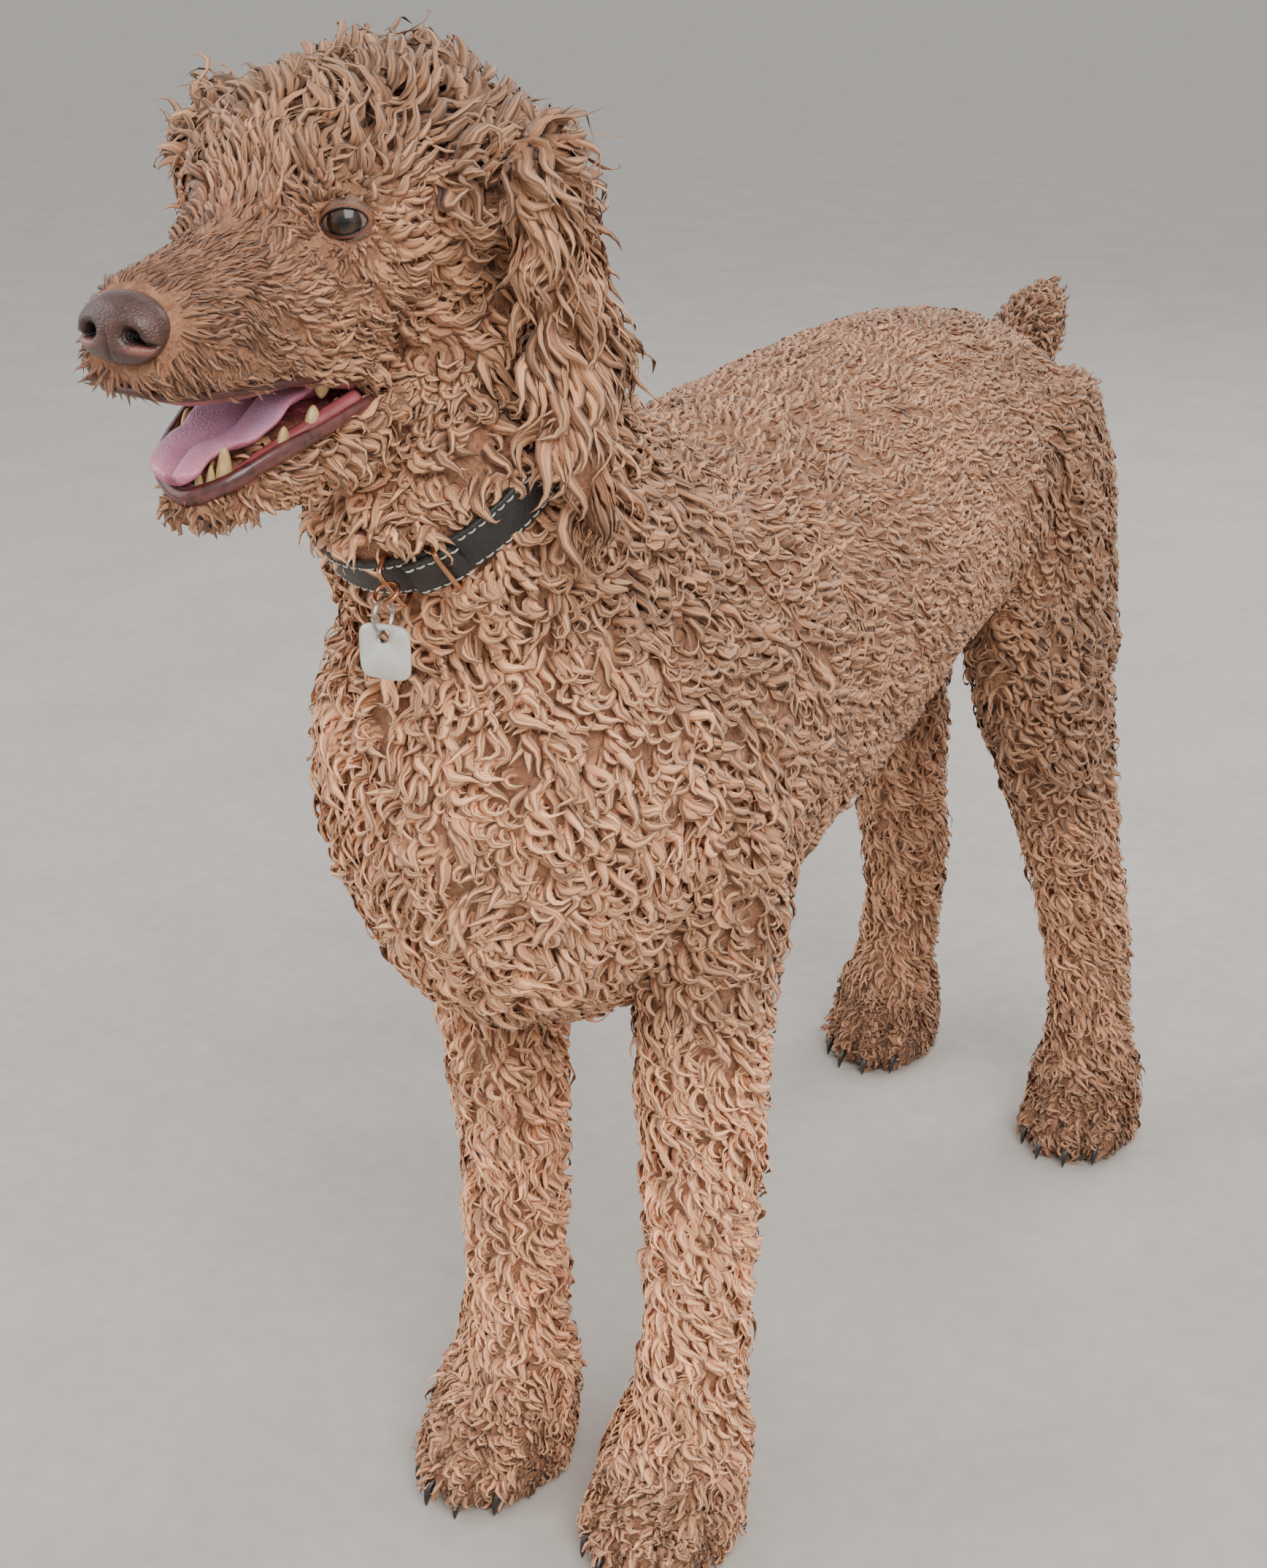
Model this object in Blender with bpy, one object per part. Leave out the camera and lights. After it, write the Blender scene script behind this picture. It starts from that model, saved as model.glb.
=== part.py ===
"""A standard poodle standing still, life size, with a clipped curly coat, open mouth and collar.

The body is built whole and then parted by thin cuts into the nodes that a person would name.
Units are metres, +Z up. While it is built, +X is the dog's left, -Y is forward and the floor
is z = 0. At the end everything moves together, so that the origin is the middle of the bottom
of the whole model's box.
"""

from math import cos, pi, radians, sin

import bmesh
import bpy
import numpy as np
from mathutils import Vector
from mathutils.bvhtree import BVHTree

GAP = 0.0003

# Head frame: the point midway between the eyes, and how the head is turned.
EYE_MIDDLE = Vector((-0.018, -0.350, 0.723))
HEAD_YAW = radians(5.4)
HEAD_PITCH = radians(4.0)
HEAD_ROLL = radians(-3.1)

# Torso, from chest to rump: y, top, bottom, half width.
TORSO = (
    (-0.316, 0.498, 0.420, 0.030),
    (-0.300, 0.545, 0.368, 0.066),
    (-0.262, 0.585, 0.322, 0.096),
    (-0.190, 0.604, 0.298, 0.114),
    (-0.090, 0.606, 0.306, 0.119),
    (0.020, 0.614, 0.334, 0.117),
    (0.120, 0.621, 0.366, 0.108),
    (0.205, 0.617, 0.388, 0.102),
    (0.275, 0.600, 0.404, 0.093),
    (0.320, 0.566, 0.430, 0.066),
    (0.342, 0.536, 0.462, 0.028),
)
KEEL_NARROWING = 0.22

# Neck, from the shoulders to the skull: y, z, half width, half depth across the slope.
NECK = (
    (-0.130, 0.490, 0.098, 0.110),
    (-0.190, 0.535, 0.092, 0.106),
    (-0.240, 0.580, 0.080, 0.092),
    (-0.275, 0.625, 0.070, 0.078),
    (-0.266, 0.668, 0.066, 0.086),
    (-0.264, 0.712, 0.058, 0.076),
)
NECK_LEAN = radians(36)
NECK_CUT = (-0.287, 0.652)
NECK_BASE_CUT = (-0.225, 0.560)

# Skull and muzzle in the head frame: forward, centre height, half width, half height.
SKULL = (
    (-0.138, -0.006, 0.026, 0.032),
    (-0.118, 0.000, 0.058, 0.062),
    (-0.082, 0.001, 0.073, 0.072),
    (-0.044, 0.000, 0.071, 0.070),
    (-0.012, -0.006, 0.057, 0.059),
    (0.008, -0.016, 0.042, 0.044),
    (0.030, -0.031, 0.035, 0.032),
    (0.060, -0.036, 0.032, 0.027),
    (0.084, -0.040, 0.028, 0.023),
    (0.095, -0.043, 0.021, 0.017),
)
# Crown coat: where it ends in front, over what length it fades, and its share at the sides.
CROWN_FRONT = 0.006
CROWN_FADE = 0.030
SIDE_SHARE = 0.35

# Lower jaw in the head frame: forward, centre height, half width, half height.
JAW = (
    (-0.070, -0.070, 0.044, 0.034),
    (-0.030, -0.077, 0.044, 0.032),
    (0.004, -0.0885, 0.036, 0.0225),
    (0.036, -0.0995, 0.028, 0.015),
    (0.057, -0.1085, 0.022, 0.010),
    (0.067, -0.1105, 0.012, 0.006),
)

# Left legs: height, x, y, half width, half length. The right ones are mirrored and shifted.
FRONT_LEG = (
    (0.470, 0.070, -0.150, 0.046, 0.080),
    (0.400, 0.072, -0.166, 0.045, 0.054),
    (0.330, 0.072, -0.174, 0.042, 0.043),
    (0.260, 0.071, -0.174, 0.038, 0.038),
    (0.180, 0.070, -0.172, 0.034, 0.035),
    (0.110, 0.068, -0.174, 0.033, 0.034),
    (0.070, 0.067, -0.180, 0.036, 0.038),
    (0.036, 0.066, -0.196, 0.040, 0.048),
    (0.014, 0.066, -0.202, 0.041, 0.050),
    (-0.004, 0.066, -0.203, 0.036, 0.045),
)
HIND_LEG = (
    (0.560, 0.050, 0.246, 0.048, 0.070),
    (0.500, 0.056, 0.252, 0.052, 0.084),
    (0.430, 0.063, 0.256, 0.051, 0.080),
    (0.360, 0.072, 0.260, 0.046, 0.066),
    (0.300, 0.079, 0.275, 0.041, 0.052),
    (0.235, 0.084, 0.300, 0.037, 0.042),
    (0.170, 0.089, 0.326, 0.035, 0.038),
    (0.120, 0.093, 0.334, 0.034, 0.036),
    (0.068, 0.097, 0.332, 0.035, 0.036),
    (0.034, 0.099, 0.325, 0.039, 0.045),
    (0.014, 0.099, 0.321, 0.040, 0.049),
    (-0.004, 0.099, 0.320, 0.035, 0.044),
)
FRONT_RIGHT_SHIFT = (0.018, 0.001)
HIND_RIGHT_SHIFT = (0.017, 0.042)
HIP_HEIGHT = 0.52
STANCE_HEIGHT = 0.30
PAW_TOP = 0.052
KNEE_CUT = 0.300

# Tail, docked and carried up: its two ends and its radius.
TAIL_ROOT = Vector((0.004, 0.318, 0.545))
TAIL_TIP = Vector((0.002, 0.404, 0.594))
TAIL_RADIUS = 0.028
TAIL_CUT = 0.030

# Left ear, a hanging leaf in the head frame: drop, forward, half width, half thickness.
EAR = (
    (-0.004, -0.042, 0.020, 0.008),
    (0.028, -0.053, 0.029, 0.010),
    (0.062, -0.066, 0.034, 0.011),
    (0.088, -0.079, 0.040, 0.011),
    (0.114, -0.076, 0.035, 0.010),
    (0.136, -0.070, 0.026, 0.009),
    (0.158, -0.068, 0.011, 0.006),
)
EAR_TOP = 0.030
EAR_CUP = 0.010
# How each ear lies: distance from the middle of the head, outward lean and backward shift.
EAR_LIE = {"left": (0.072, radians(8.5), 0.0), "right": (0.064, radians(0.5), 0.012)}

# Ear hair: tiers of locks, as drop of their roots, count and length.
EAR_TIERS = (
    (0.010, 2, 0.060),
    (0.044, 3, 0.060),
    (0.080, 3, 0.054),
    (0.116, 3, 0.046),
)
EAR_THINNING = (0.007, 0.003)
EAR_CORE_END = 0.012
EAR_CLEAR = 0.002
# Where each ear grows from the skull, in the head frame, and the size of that swelling.
EAR_ROOT = (0.058, -0.050, 0.012)
EAR_ROOT_SIZE = (0.020, 0.026, 0.022)
# One lock, from root to tip: share of its length, width and thickness.
LOCK_RINGS = ((0.0, 0.75, 1.0), (0.38, 1.0, 0.9), (0.74, 0.70, 0.6))
LOCK_WIDTH = 0.0120
LOCK_THICKNESS = 0.0042
LOCK_FLARE = 0.26
LOCK_LIFT = 0.0035

EYE_OFFSET = 0.031
EYE_FORWARD = 0.001
EYE_RADIUS = 0.0115
EYE_TURN = 0.50
LID_FORWARD = 0.0062
LID_SIZE = (0.0100, 0.0076)
LID_RADIUS = 0.0026

NOSE_CENTRE = (0.0, 0.093, -0.037)
NOSE_SIZE = (0.0185, 0.0130, 0.0128)

# Collar: its middle, its lean and roll, and the strap.
COLLAR_CENTRE = Vector((0.0, -0.276, 0.617))
COLLAR_LEAN = radians(38)
COLLAR_ROLL = radians(9)
COLLAR_HALF_WIDTH = 0.061
COLLAR_HALF_DEPTH = 0.070
STRAP_WIDTH = 0.020
STRAP_THICKNESS = 0.0035
TAG_SIZE = 0.024
TAG_THICKNESS = 0.0024
TAG_HOLE_DROP = 0.0050
SLIDE_TURNS = (0.16, 0.53)
SLIDE_OUT = 0.0100
RING_RADIUS = 0.0054
RING_RAISE = 0.0030
SPLIT_RADIUS = 0.0075

# Mouth in the head frame. Lips run from the corner to the front: side, forward, height.
UPPER_LIP = (
    (0.038, -0.014, -0.0625),
    (0.034, 0.010, -0.0600),
    (0.031, 0.036, -0.0585),
    (0.026, 0.066, -0.0600),
    (0.016, 0.087, -0.0610),
    (0.000, 0.092, -0.0600),
)
LOWER_LIP = (
    (0.038, -0.010, -0.0695),
    (0.033, 0.013, -0.0785),
    (0.026, 0.040, -0.0890),
    (0.018, 0.058, -0.0985),
    (0.000, 0.066, -0.1045),
)
LIP_RADIUS = 0.0040
JAW_CUT = ((-0.010, -0.066), (0.14, -0.070), (0.14, -0.18), (-0.035, -0.18))
# Tongue in the head's middle plane: forward, height, half width, half thickness.
TONGUE = (
    (-0.028, -0.0760, 0.0170, 0.0050),
    (-0.004, -0.0700, 0.0200, 0.0052),
    (0.020, -0.0710, 0.0215, 0.0048),
    (0.040, -0.0825, 0.0215, 0.0042),
    (0.056, -0.0940, 0.0180, 0.0036),
    (0.067, -0.1065, 0.0110, 0.0026),
)
# Teeth: side, forward, root height, length and radius; each is set on both sides.
LOWER_TEETH = (
    (0.0034, 0.0613, -0.1025, 0.0078, 0.0024),
    (0.0088, 0.0588, -0.1000, 0.0085, 0.0026),
    (0.0135, 0.0545, -0.0985, 0.0145, 0.0036),
    (0.0232, 0.0290, -0.0845, 0.0080, 0.0034),
    (0.0260, 0.0140, -0.0790, 0.0085, 0.0040),
    (0.0278, 0.0000, -0.0750, 0.0060, 0.0040),
)
UPPER_TEETH = (
    (0.0250, 0.0340, -0.0560, 0.0075, 0.0030),
    (0.0265, 0.0200, -0.0555, 0.0085, 0.0036),
    (0.0280, 0.0060, -0.0555, 0.0095, 0.0044),
)

# Paws: toes from the inner to the outer, as side and forward offsets of their middles.
TOES = ((-0.027, 0.018), (-0.010, 0.032), (0.010, 0.032), (0.027, 0.018))
TOE_SIZE = (0.0125, 0.0190, 0.0165)
CLAW_LENGTH = 0.0080
CLAW_RADIUS = 0.0026
PAW_MIDDLES = {"front": (0.066, -0.200), "hind": (0.099, 0.323)}

# Coat, for each region: depth from the core to the tips, spacing of the clumps, their radius
# and how far their tips lean along the lie, as a share of the radius.
COATS = {
    "torso": (0.014, 0.077, 0.0420, 0.35),
    "neck": (0.013, 0.055, 0.0300, 0.35),
    "head": (0.016, 0.042, 0.0230, 0.40),
    "jaw": (0.003, 0.0, 0.0, 0.0),
    "leg": (0.012, 0.053, 0.0290, 0.35),
    "tail": (0.008, 0.034, 0.0185, 0.40),
}
BARE = ("jaw",)
# One clump above its root: share of the rise, of the radius and of the lean.
CLUMP_SHOULDER = (0.66, 0.78, 0.60)
CLUMP_SINK = 0.010
CLUMP_SIDES = 5
CLUMP_SHARE = 0.56
# Two rounds of placing: share of the spacing at which places are tried, and the room they need.
CLUMP_ROUNDS = ((1.0, 0.72), (0.3, 0.86))
CLUMP_TURN = pi / 10
TURN_SPREAD = 0.60
SIZE_SPREAD = 0.08
TIP_REACH = 0.0015
LEAST_RISE = 0.0035
PAW_SHARE = 0.25
EYE_CLEAR = 0.027
SEED = 7

COLOURS = {
    "coat": (0.42, 0.20, 0.09),
    "nose": (0.09, 0.035, 0.022),
    "eye": (0.03, 0.015, 0.008),
    "tongue": (0.62, 0.30, 0.36),
    "claw": (0.015, 0.013, 0.012),
    "leather": (0.018, 0.017, 0.016),
    "copper": (0.70, 0.40, 0.28),
    "steel": (0.60, 0.60, 0.60),
    "tag": (0.72, 0.71, 0.67),
}
ROUGHNESS = {"coat": 0.9, "nose": 0.45, "eye": 0.1, "tongue": 0.4}
METALS = ("copper", "steel")


def clear_scene():
    """Remove every object that the scene starts with."""
    for item in list(bpy.data.objects):
        bpy.data.objects.remove(item, do_unlink=True)


def finish_material(kind):
    """Return the Principled material of one kind of surface, made once."""
    found = bpy.data.materials.get(kind)
    if found:
        return found
    made = bpy.data.materials.new(kind)
    made.use_nodes = True
    shader = made.node_tree.nodes["Principled BSDF"]
    shader.inputs["Base Color"].default_value = (*COLOURS[kind], 1.0)
    shader.inputs["Roughness"].default_value = ROUGHNESS.get(kind, 0.35)
    shader.inputs["Metallic"].default_value = 1.0 if kind in METALS else 0.0
    return made


def head_axes():
    """Return the head's left, forward and up directions in the model's frame."""
    left = Vector((cos(HEAD_YAW), sin(HEAD_YAW), 0.0))
    level = cos(HEAD_PITCH)
    ahead = Vector((sin(HEAD_YAW) * level, -cos(HEAD_YAW) * level, sin(HEAD_PITCH)))
    up = ahead.cross(left)
    rolled_left = left * cos(HEAD_ROLL) + up * sin(HEAD_ROLL)
    rolled_up = up * cos(HEAD_ROLL) - left * sin(HEAD_ROLL)
    return rolled_left, ahead, rolled_up


HEAD_LEFT, HEAD_AHEAD, HEAD_UP = head_axes()
RAY = Vector((0.012, -0.017, 1.0)).normalized()
WORLD_AXES = (Vector((1, 0, 0)), Vector((0, 1, 0)), Vector((0, 0, 1)))


def head_point(x, y, z):
    """Return a point of the head frame in the model's frame."""
    return EYE_MIDDLE + HEAD_LEFT * x + HEAD_AHEAD * y + HEAD_UP * z


def smooth_rows(stations, rows):
    """Return evenly counted rows on a Catmull-Rom curve through the stations."""
    table = np.array(stations, float)
    last = len(table) - 1
    place = np.linspace(0.0, last, rows)
    start = np.minimum(place.astype(int), last - 1)
    part = (place - start)[:, None]
    before = table[np.maximum(start - 1, 0)]
    here = table[start]
    there = table[start + 1]
    after = table[np.minimum(start + 2, last)]
    slope = there - before
    bend = 2 * before - 5 * here + 4 * there - after
    twist = 3 * here - before - 3 * there + after
    return here + 0.5 * part * (slope + part * (bend + part * twist))


def mesh_from(name, points, faces):
    """Return a mesh whose faces all point outwards."""
    mesh = bpy.data.meshes.new(name)
    mesh.from_pydata([tuple(p) for p in points], [], faces)
    shape = bmesh.new()
    shape.from_mesh(mesh)
    bmesh.ops.recalc_face_normals(shape, faces=shape.faces)
    shape.to_mesh(mesh)
    shape.free()
    return mesh


def add_object(name, mesh, kind="coat"):
    """Put a mesh in the scene as an object with its material."""
    made = bpy.data.objects.new(name, mesh)
    bpy.context.scene.collection.objects.link(made)
    mesh.materials.clear()
    mesh.materials.append(finish_material(kind))
    return made


def shell(name, grid, kind="coat"):
    """Return a closed object from a grid of rings, with a flat cap at each end."""
    rows, sides = grid.shape[:2]
    faces = []
    for row in range(rows - 1):
        for side in range(sides):
            after = (side + 1) % sides
            faces.append((row * sides + side, row * sides + after,
                          (row + 1) * sides + after, (row + 1) * sides + side))
    faces.append(tuple(range(sides)))
    faces.append(tuple(range((rows - 1) * sides, rows * sides)))
    return add_object(name, mesh_from(name, grid.reshape(-1, 3), faces), kind)


def ring(sides):
    """Return the cosine and sine of evenly spaced angles round a section."""
    angle = np.arange(sides) * 2 * pi / sides
    return np.cos(angle), np.sin(angle)


def torso_grid(depth, rows=9, sides=9):
    """Torso surface, sunk by a depth: egg-shaped sections across the body, narrower below."""
    y, top, bottom, half = smooth_rows(TORSO, rows).T
    c, s = ring(sides)
    middle = (top + bottom) / 2
    tall = np.maximum((top - bottom) / 2 - depth, 0.008)
    wide = np.maximum(half - depth, 0.008)
    keel = 1 - KEEL_NARROWING * np.clip(-s, 0, 1) ** 1.5
    grid = np.empty((rows, sides, 3))
    grid[..., 0] = wide[:, None] * c * keel
    grid[..., 1] = y[:, None]
    grid[..., 2] = middle[:, None] + tall[:, None] * s
    return grid


def neck_grid(depth, rows=5, sides=8):
    """Neck surface, sunk by a depth: ovals that lean back as the neck rises."""
    y, z, half, deep = smooth_rows(NECK, rows).T
    c, s = ring(sides)
    wide = half - depth
    tall = deep - depth
    grid = np.empty((rows, sides, 3))
    grid[..., 0] = wide[:, None] * c
    grid[..., 1] = y[:, None] + tall[:, None] * s * cos(NECK_LEAN)
    grid[..., 2] = z[:, None] + tall[:, None] * s * sin(NECK_LEAN)
    return grid


def crown_cover(y, s):
    """Return the share of the crown's coat depth: full above, thin at the sides, none in front."""
    behind = np.clip((CROWN_FRONT - y) / CROWN_FADE, 0, 1)
    return behind * (SIDE_SHARE + (1 - SIDE_SHARE) * np.clip(s, 0, 1))


def even_cover(y, s):
    """Return a full share everywhere."""
    return np.ones_like(y * s)


def head_grid(stations, depth, rows, sides, cover=even_cover):
    """Surface in the head frame, sunk by a depth: ovals across the head from back to front."""
    y, z, half, high = smooth_rows(stations, rows).T
    c, s = ring(sides)
    sunk = depth * cover(y[:, None], s[None, :])
    wide = np.maximum(half[:, None] - sunk, 0.006)
    tall = np.maximum(high[:, None] - sunk, 0.006)
    local = np.empty((rows, sides, 3))
    local[..., 0] = wide * c
    local[..., 1] = y[:, None]
    local[..., 2] = z[:, None] + tall * s
    turn = np.array([HEAD_LEFT, HEAD_AHEAD, HEAD_UP])
    return np.array(EYE_MIDDLE) + local @ turn


def leg_grid(stations, depth, side, shift, rows=9, sides=7):
    """Leg surface, sunk by a depth: level ovals from the body down to the sole."""
    z, x, y, half, deep = smooth_rows(stations, rows).T
    c, s = ring(sides)
    grid = np.empty((rows, sides, 3))
    stance = np.clip((HIP_HEIGHT - z) / (HIP_HEIGHT - STANCE_HEIGHT), 0, 1)[:, None]
    sunk = (depth * np.clip((z - PAW_TOP) / PAW_TOP + PAW_SHARE, PAW_SHARE, 1))[:, None]
    grid[..., 0] = side * x[:, None] + (half[:, None] - sunk) * c + shift[0] * stance
    grid[..., 1] = y[:, None] + (deep[:, None] - sunk) * s + shift[1] * stance
    grid[..., 2] = z[:, None]
    return grid


def tail_grid(depth, rows=5, sides=7):
    """Tail surface, sunk by a depth: a round-ended stub from its root to its tip."""
    along = np.linspace(0, 1, rows)
    radius = np.maximum(TAIL_RADIUS * (1 - 0.75 * along ** 5) - depth, 0.006)
    axis = TAIL_TIP - TAIL_ROOT
    side = Vector((1, 0, 0))
    rise = axis.cross(side).normalized()
    c, s = ring(sides)
    grid = np.empty((rows, sides, 3))
    for row in range(rows):
        centre = TAIL_ROOT + axis * along[row]
        for step in range(sides):
            grid[row, step] = centre + (side * c[step] + rise * s[step]) * radius[row]
    return grid


def prism(name, outline, start, end, axes, origin, grow=0.0):
    """Return a closed prism: an outline in the first two axes, drawn out along the third."""
    count = len(outline)
    spots = [Vector(p) for p in outline]
    middle = sum(spots, Vector((0, 0))) / count
    grown = []
    for step in range(count):
        here = spots[step]
        normals = []
        for other in (spots[step - 1], spots[(step + 1) % count]):
            edge = here - other
            normal = Vector((edge.y, -edge.x)).normalized()
            if normal.dot(here - middle) < 0:
                normal.negate()
            normals.append(normal)
        spread = 1 + normals[0].dot(normals[1])
        grown.append(here + (normals[0] + normals[1]) * (grow / spread))
    points = []
    for level in (start - grow, end + grow):
        for p in grown:
            points.append(origin + axes[0] * p.x + axes[1] * p.y + axes[2] * level)
    faces = [tuple(range(count)), tuple(range(count, 2 * count))]
    for step in range(count):
        after = (step + 1) % count
        faces.append((step, after, count + after, count + step))
    return add_object(name, mesh_from(name, points, faces))


def apply_boolean(target, operation, cutter=None, group=None, solver="MANIFOLD"):
    """Apply one Boolean to an object and keep the result as its mesh."""
    change = target.modifiers.new(operation.lower(), "BOOLEAN")
    change.operation = operation
    change.solver = solver
    if group:
        change.operand_type = "COLLECTION"
        change.collection = group
    else:
        change.object = cutter
    graph = bpy.context.evaluated_depsgraph_get()
    result = bpy.data.meshes.new_from_object(target.evaluated_get(graph))
    target.modifiers.clear()
    old = target.data
    target.data = result
    bpy.data.meshes.remove(old)


def drop(item):
    """Remove an object and its mesh."""
    mesh = item.data
    bpy.data.objects.remove(item, do_unlink=True)
    bpy.data.meshes.remove(mesh)


def fuse(pieces):
    """Join closed pieces into the first of them by one Boolean union, and return it."""
    base = pieces[0]
    if len(pieces) == 1:
        return base
    group = bpy.data.collections.new(base.name + "_pieces")
    bpy.context.scene.collection.children.link(group)
    for piece in pieces[1:]:
        group.objects.link(piece)
    apply_boolean(base, "UNION", group=group)
    for piece in pieces[1:]:
        drop(piece)
    bpy.data.collections.remove(group)
    return base


def copy_of(item, name):
    """Return a copy of an object with its own mesh."""
    made = bpy.data.objects.new(name, item.data.copy())
    bpy.context.scene.collection.objects.link(made)
    return made


def keep_largest(item):
    """Keep only the largest closed surface of an object's mesh."""
    shape = bmesh.new()
    shape.from_mesh(item.data)
    waiting = set(shape.faces)
    islands = []
    while waiting:
        first = waiting.pop()
        island = [first]
        stack = [first]
        while stack:
            for edge in stack.pop().edges:
                for face in edge.link_faces:
                    if face in waiting:
                        waiting.remove(face)
                        island.append(face)
                        stack.append(face)
        islands.append(island)
    islands.sort(key=lambda faces: sum(face.calc_area() for face in faces))
    for island in islands[:-1]:
        bmesh.ops.delete(shape, geom=island, context="FACES")
    shape.to_mesh(item.data)
    shape.free()


def part_off(body, name, outline, start, end, axes=WORLD_AXES, origin=Vector((0, 0, 0))):
    """Cut the piece inside a prism off the body, with a thin gap, and return it."""
    piece = copy_of(body, name)
    inner = prism("inner", outline, start, end, axes, origin)
    outer = prism("outer", outline, start, end, axes, origin, GAP)
    apply_boolean(piece, "INTERSECT", inner)
    apply_boolean(body, "DIFFERENCE", outer)
    drop(inner)
    drop(outer)
    keep_largest(piece)
    return piece


def cut(body, cutters):
    """Take cutters away from a body and remove them."""
    for cutter in cutters:
        apply_boolean(body, "DIFFERENCE", cutter)
        drop(cutter)
    keep_largest(body)


def oval(name, centre, sizes, axes, kind="coat", rows=7, sides=10):
    """Return a closed egg: rings round the third axis between two poles."""
    points = [centre - axes[2] * sizes[2]]
    for row in range(1, rows):
        lift = -cos(pi * row / rows)
        reach = sin(pi * row / rows)
        for step in range(sides):
            angle = 2 * pi * step / sides
            points.append(centre + axes[0] * (sizes[0] * reach * cos(angle))
                          + axes[1] * (sizes[1] * reach * sin(angle)) + axes[2] * (sizes[2] * lift))
    points.append(centre + axes[2] * sizes[2])
    top = len(points) - 1
    faces = []
    for step in range(sides):
        after = (step + 1) % sides
        faces.append((0, 1 + after, 1 + step))
        low = 1 + (rows - 2) * sides
        faces.append((top, low + step, low + after))
        for row in range(rows - 2):
            a = 1 + row * sides
            faces.append((a + step, a + after, a + sides + after, a + sides + step))
    return add_object(name, mesh_from(name, points, faces), kind)


def path_grid(path, sides, grow=0.0):
    """Surface along a path in the head's middle plane: forward, height, half width, half depth."""
    table = smooth_rows(path, 2 * len(path))
    slope = np.gradient(table[:, :2], axis=0)
    slope /= np.linalg.norm(slope, axis=1)[:, None]
    c, s = ring(sides)
    local = np.empty((len(table), sides, 3))
    local[..., 0] = (table[:, 2] + grow)[:, None] * c
    depth = (table[:, 3] + grow)[:, None] * s
    local[..., 1] = table[:, 0, None] - slope[:, 1, None] * depth
    local[..., 2] = table[:, 1, None] + slope[:, 0, None] * depth
    local[0, :, 1:] -= slope[0] * grow
    local[-1, :, 1:] += slope[-1] * grow
    turn = np.array([HEAD_LEFT, HEAD_AHEAD, HEAD_UP])
    return np.array(EYE_MIDDLE) + local @ turn


def hoop(name, centre, side, rise, half_side, half_rise, tube, segments, kind, corners=6):
    """Return a closed ring of wire round an oval."""
    points = []
    out = side.cross(rise).normalized()
    for step in range(segments):
        angle = 2 * pi * step / segments
        spoke = side * cos(angle) * half_side + rise * sin(angle) * half_rise
        away = (side * cos(angle) / half_side + rise * sin(angle) / half_rise).normalized()
        for corner in range(corners):
            turn = 2 * pi * (corner + 0.5) / corners
            points.append(centre + spoke + (away * cos(turn) + out * sin(turn)) * tube)
    return add_object(name, mesh_from(name, points, ring_faces(segments, corners)), kind)


def ring_faces(segments, corners):
    """Return the faces of a tube that closes on itself."""
    faces = []
    for step in range(segments):
        after = (step + 1) % segments
        for corner in range(corners):
            next_corner = (corner + 1) % corners
            faces.append((step * corners + corner, step * corners + next_corner,
                          after * corners + next_corner, after * corners + corner))
    return faces


def collar_axes():
    """Return the collar's left, back and up-the-neck directions."""
    level = Vector((cos(HEAD_YAW), sin(HEAD_YAW), 0.0))
    back = Vector((-level.y * cos(COLLAR_LEAN), level.x * cos(COLLAR_LEAN), sin(COLLAR_LEAN)))
    side = level * cos(COLLAR_ROLL) + level.cross(back) * sin(COLLAR_ROLL)
    return side, back, side.cross(back)


COLLAR_SIDE, COLLAR_BACK, COLLAR_AXIS = collar_axes()


def collar_spot(turn, out=0.0, along=0.0):
    """Return a point on the collar: turned from the throat to the left, out, and up the neck."""
    spoke = COLLAR_SIDE * sin(turn) * COLLAR_HALF_WIDTH - COLLAR_BACK * cos(turn) * COLLAR_HALF_DEPTH
    away = COLLAR_SIDE * sin(turn) / COLLAR_HALF_WIDTH - COLLAR_BACK * cos(turn) / COLLAR_HALF_DEPTH
    return COLLAR_CENTRE + spoke + away.normalized() * out + COLLAR_AXIS * along


def band(name, inner, outer, half_width, kind, segments=32, start=0.0, sweep=2 * pi):
    """Return a strap round the neck with a rectangular section; a part turn has flat ends."""
    whole = sweep >= 2 * pi
    points = []
    corners = ((inner, -half_width), (outer, -half_width), (outer, half_width), (inner, half_width))
    for step in range(segments):
        turn = start + sweep * step / (segments if whole else segments - 1)
        for out, along in corners:
            points.append(collar_spot(turn, out, along))
    faces = ring_faces(segments, 4)
    if not whole:
        faces = faces[:-4]
        faces.append((0, 1, 2, 3))
        faces.append(tuple(range(4 * segments - 4, 4 * segments)))
    return add_object(name, mesh_from(name, points, faces), kind)


def ear_frame(label, side):
    """Return one ear's axes, forward, up and out, and the top of its inner face."""
    plane, lean, back = EAR_LIE[label]
    out = HEAD_LEFT * side * cos(lean) + HEAD_UP * sin(lean)
    up = HEAD_UP * cos(lean) - HEAD_LEFT * side * sin(lean)
    return (HEAD_AHEAD, up, out), head_point(side * plane, -back, EAR_TOP)


def ear_grid(axes, origin, rows=7, sides=8):
    """Ear leaf: a hanging sheet, hollow on the side that faces the head."""
    fall, forward, half, thick = smooth_rows(EAR, rows).T
    half = half - EAR_THINNING[0]
    thick = thick - EAR_THINNING[1]
    fall = fall - EAR_CORE_END * fall / fall[-1]
    c, s = ring(sides)
    local = np.empty((rows, sides, 3))
    local[..., 0] = forward[:, None] + half[:, None] * c
    local[..., 1] = -fall[:, None]
    local[..., 2] = thick[:, None] * (1 + s) + EAR_CUP * (1 - c ** 2)
    return np.array(origin) + local @ np.array(axes)


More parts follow.
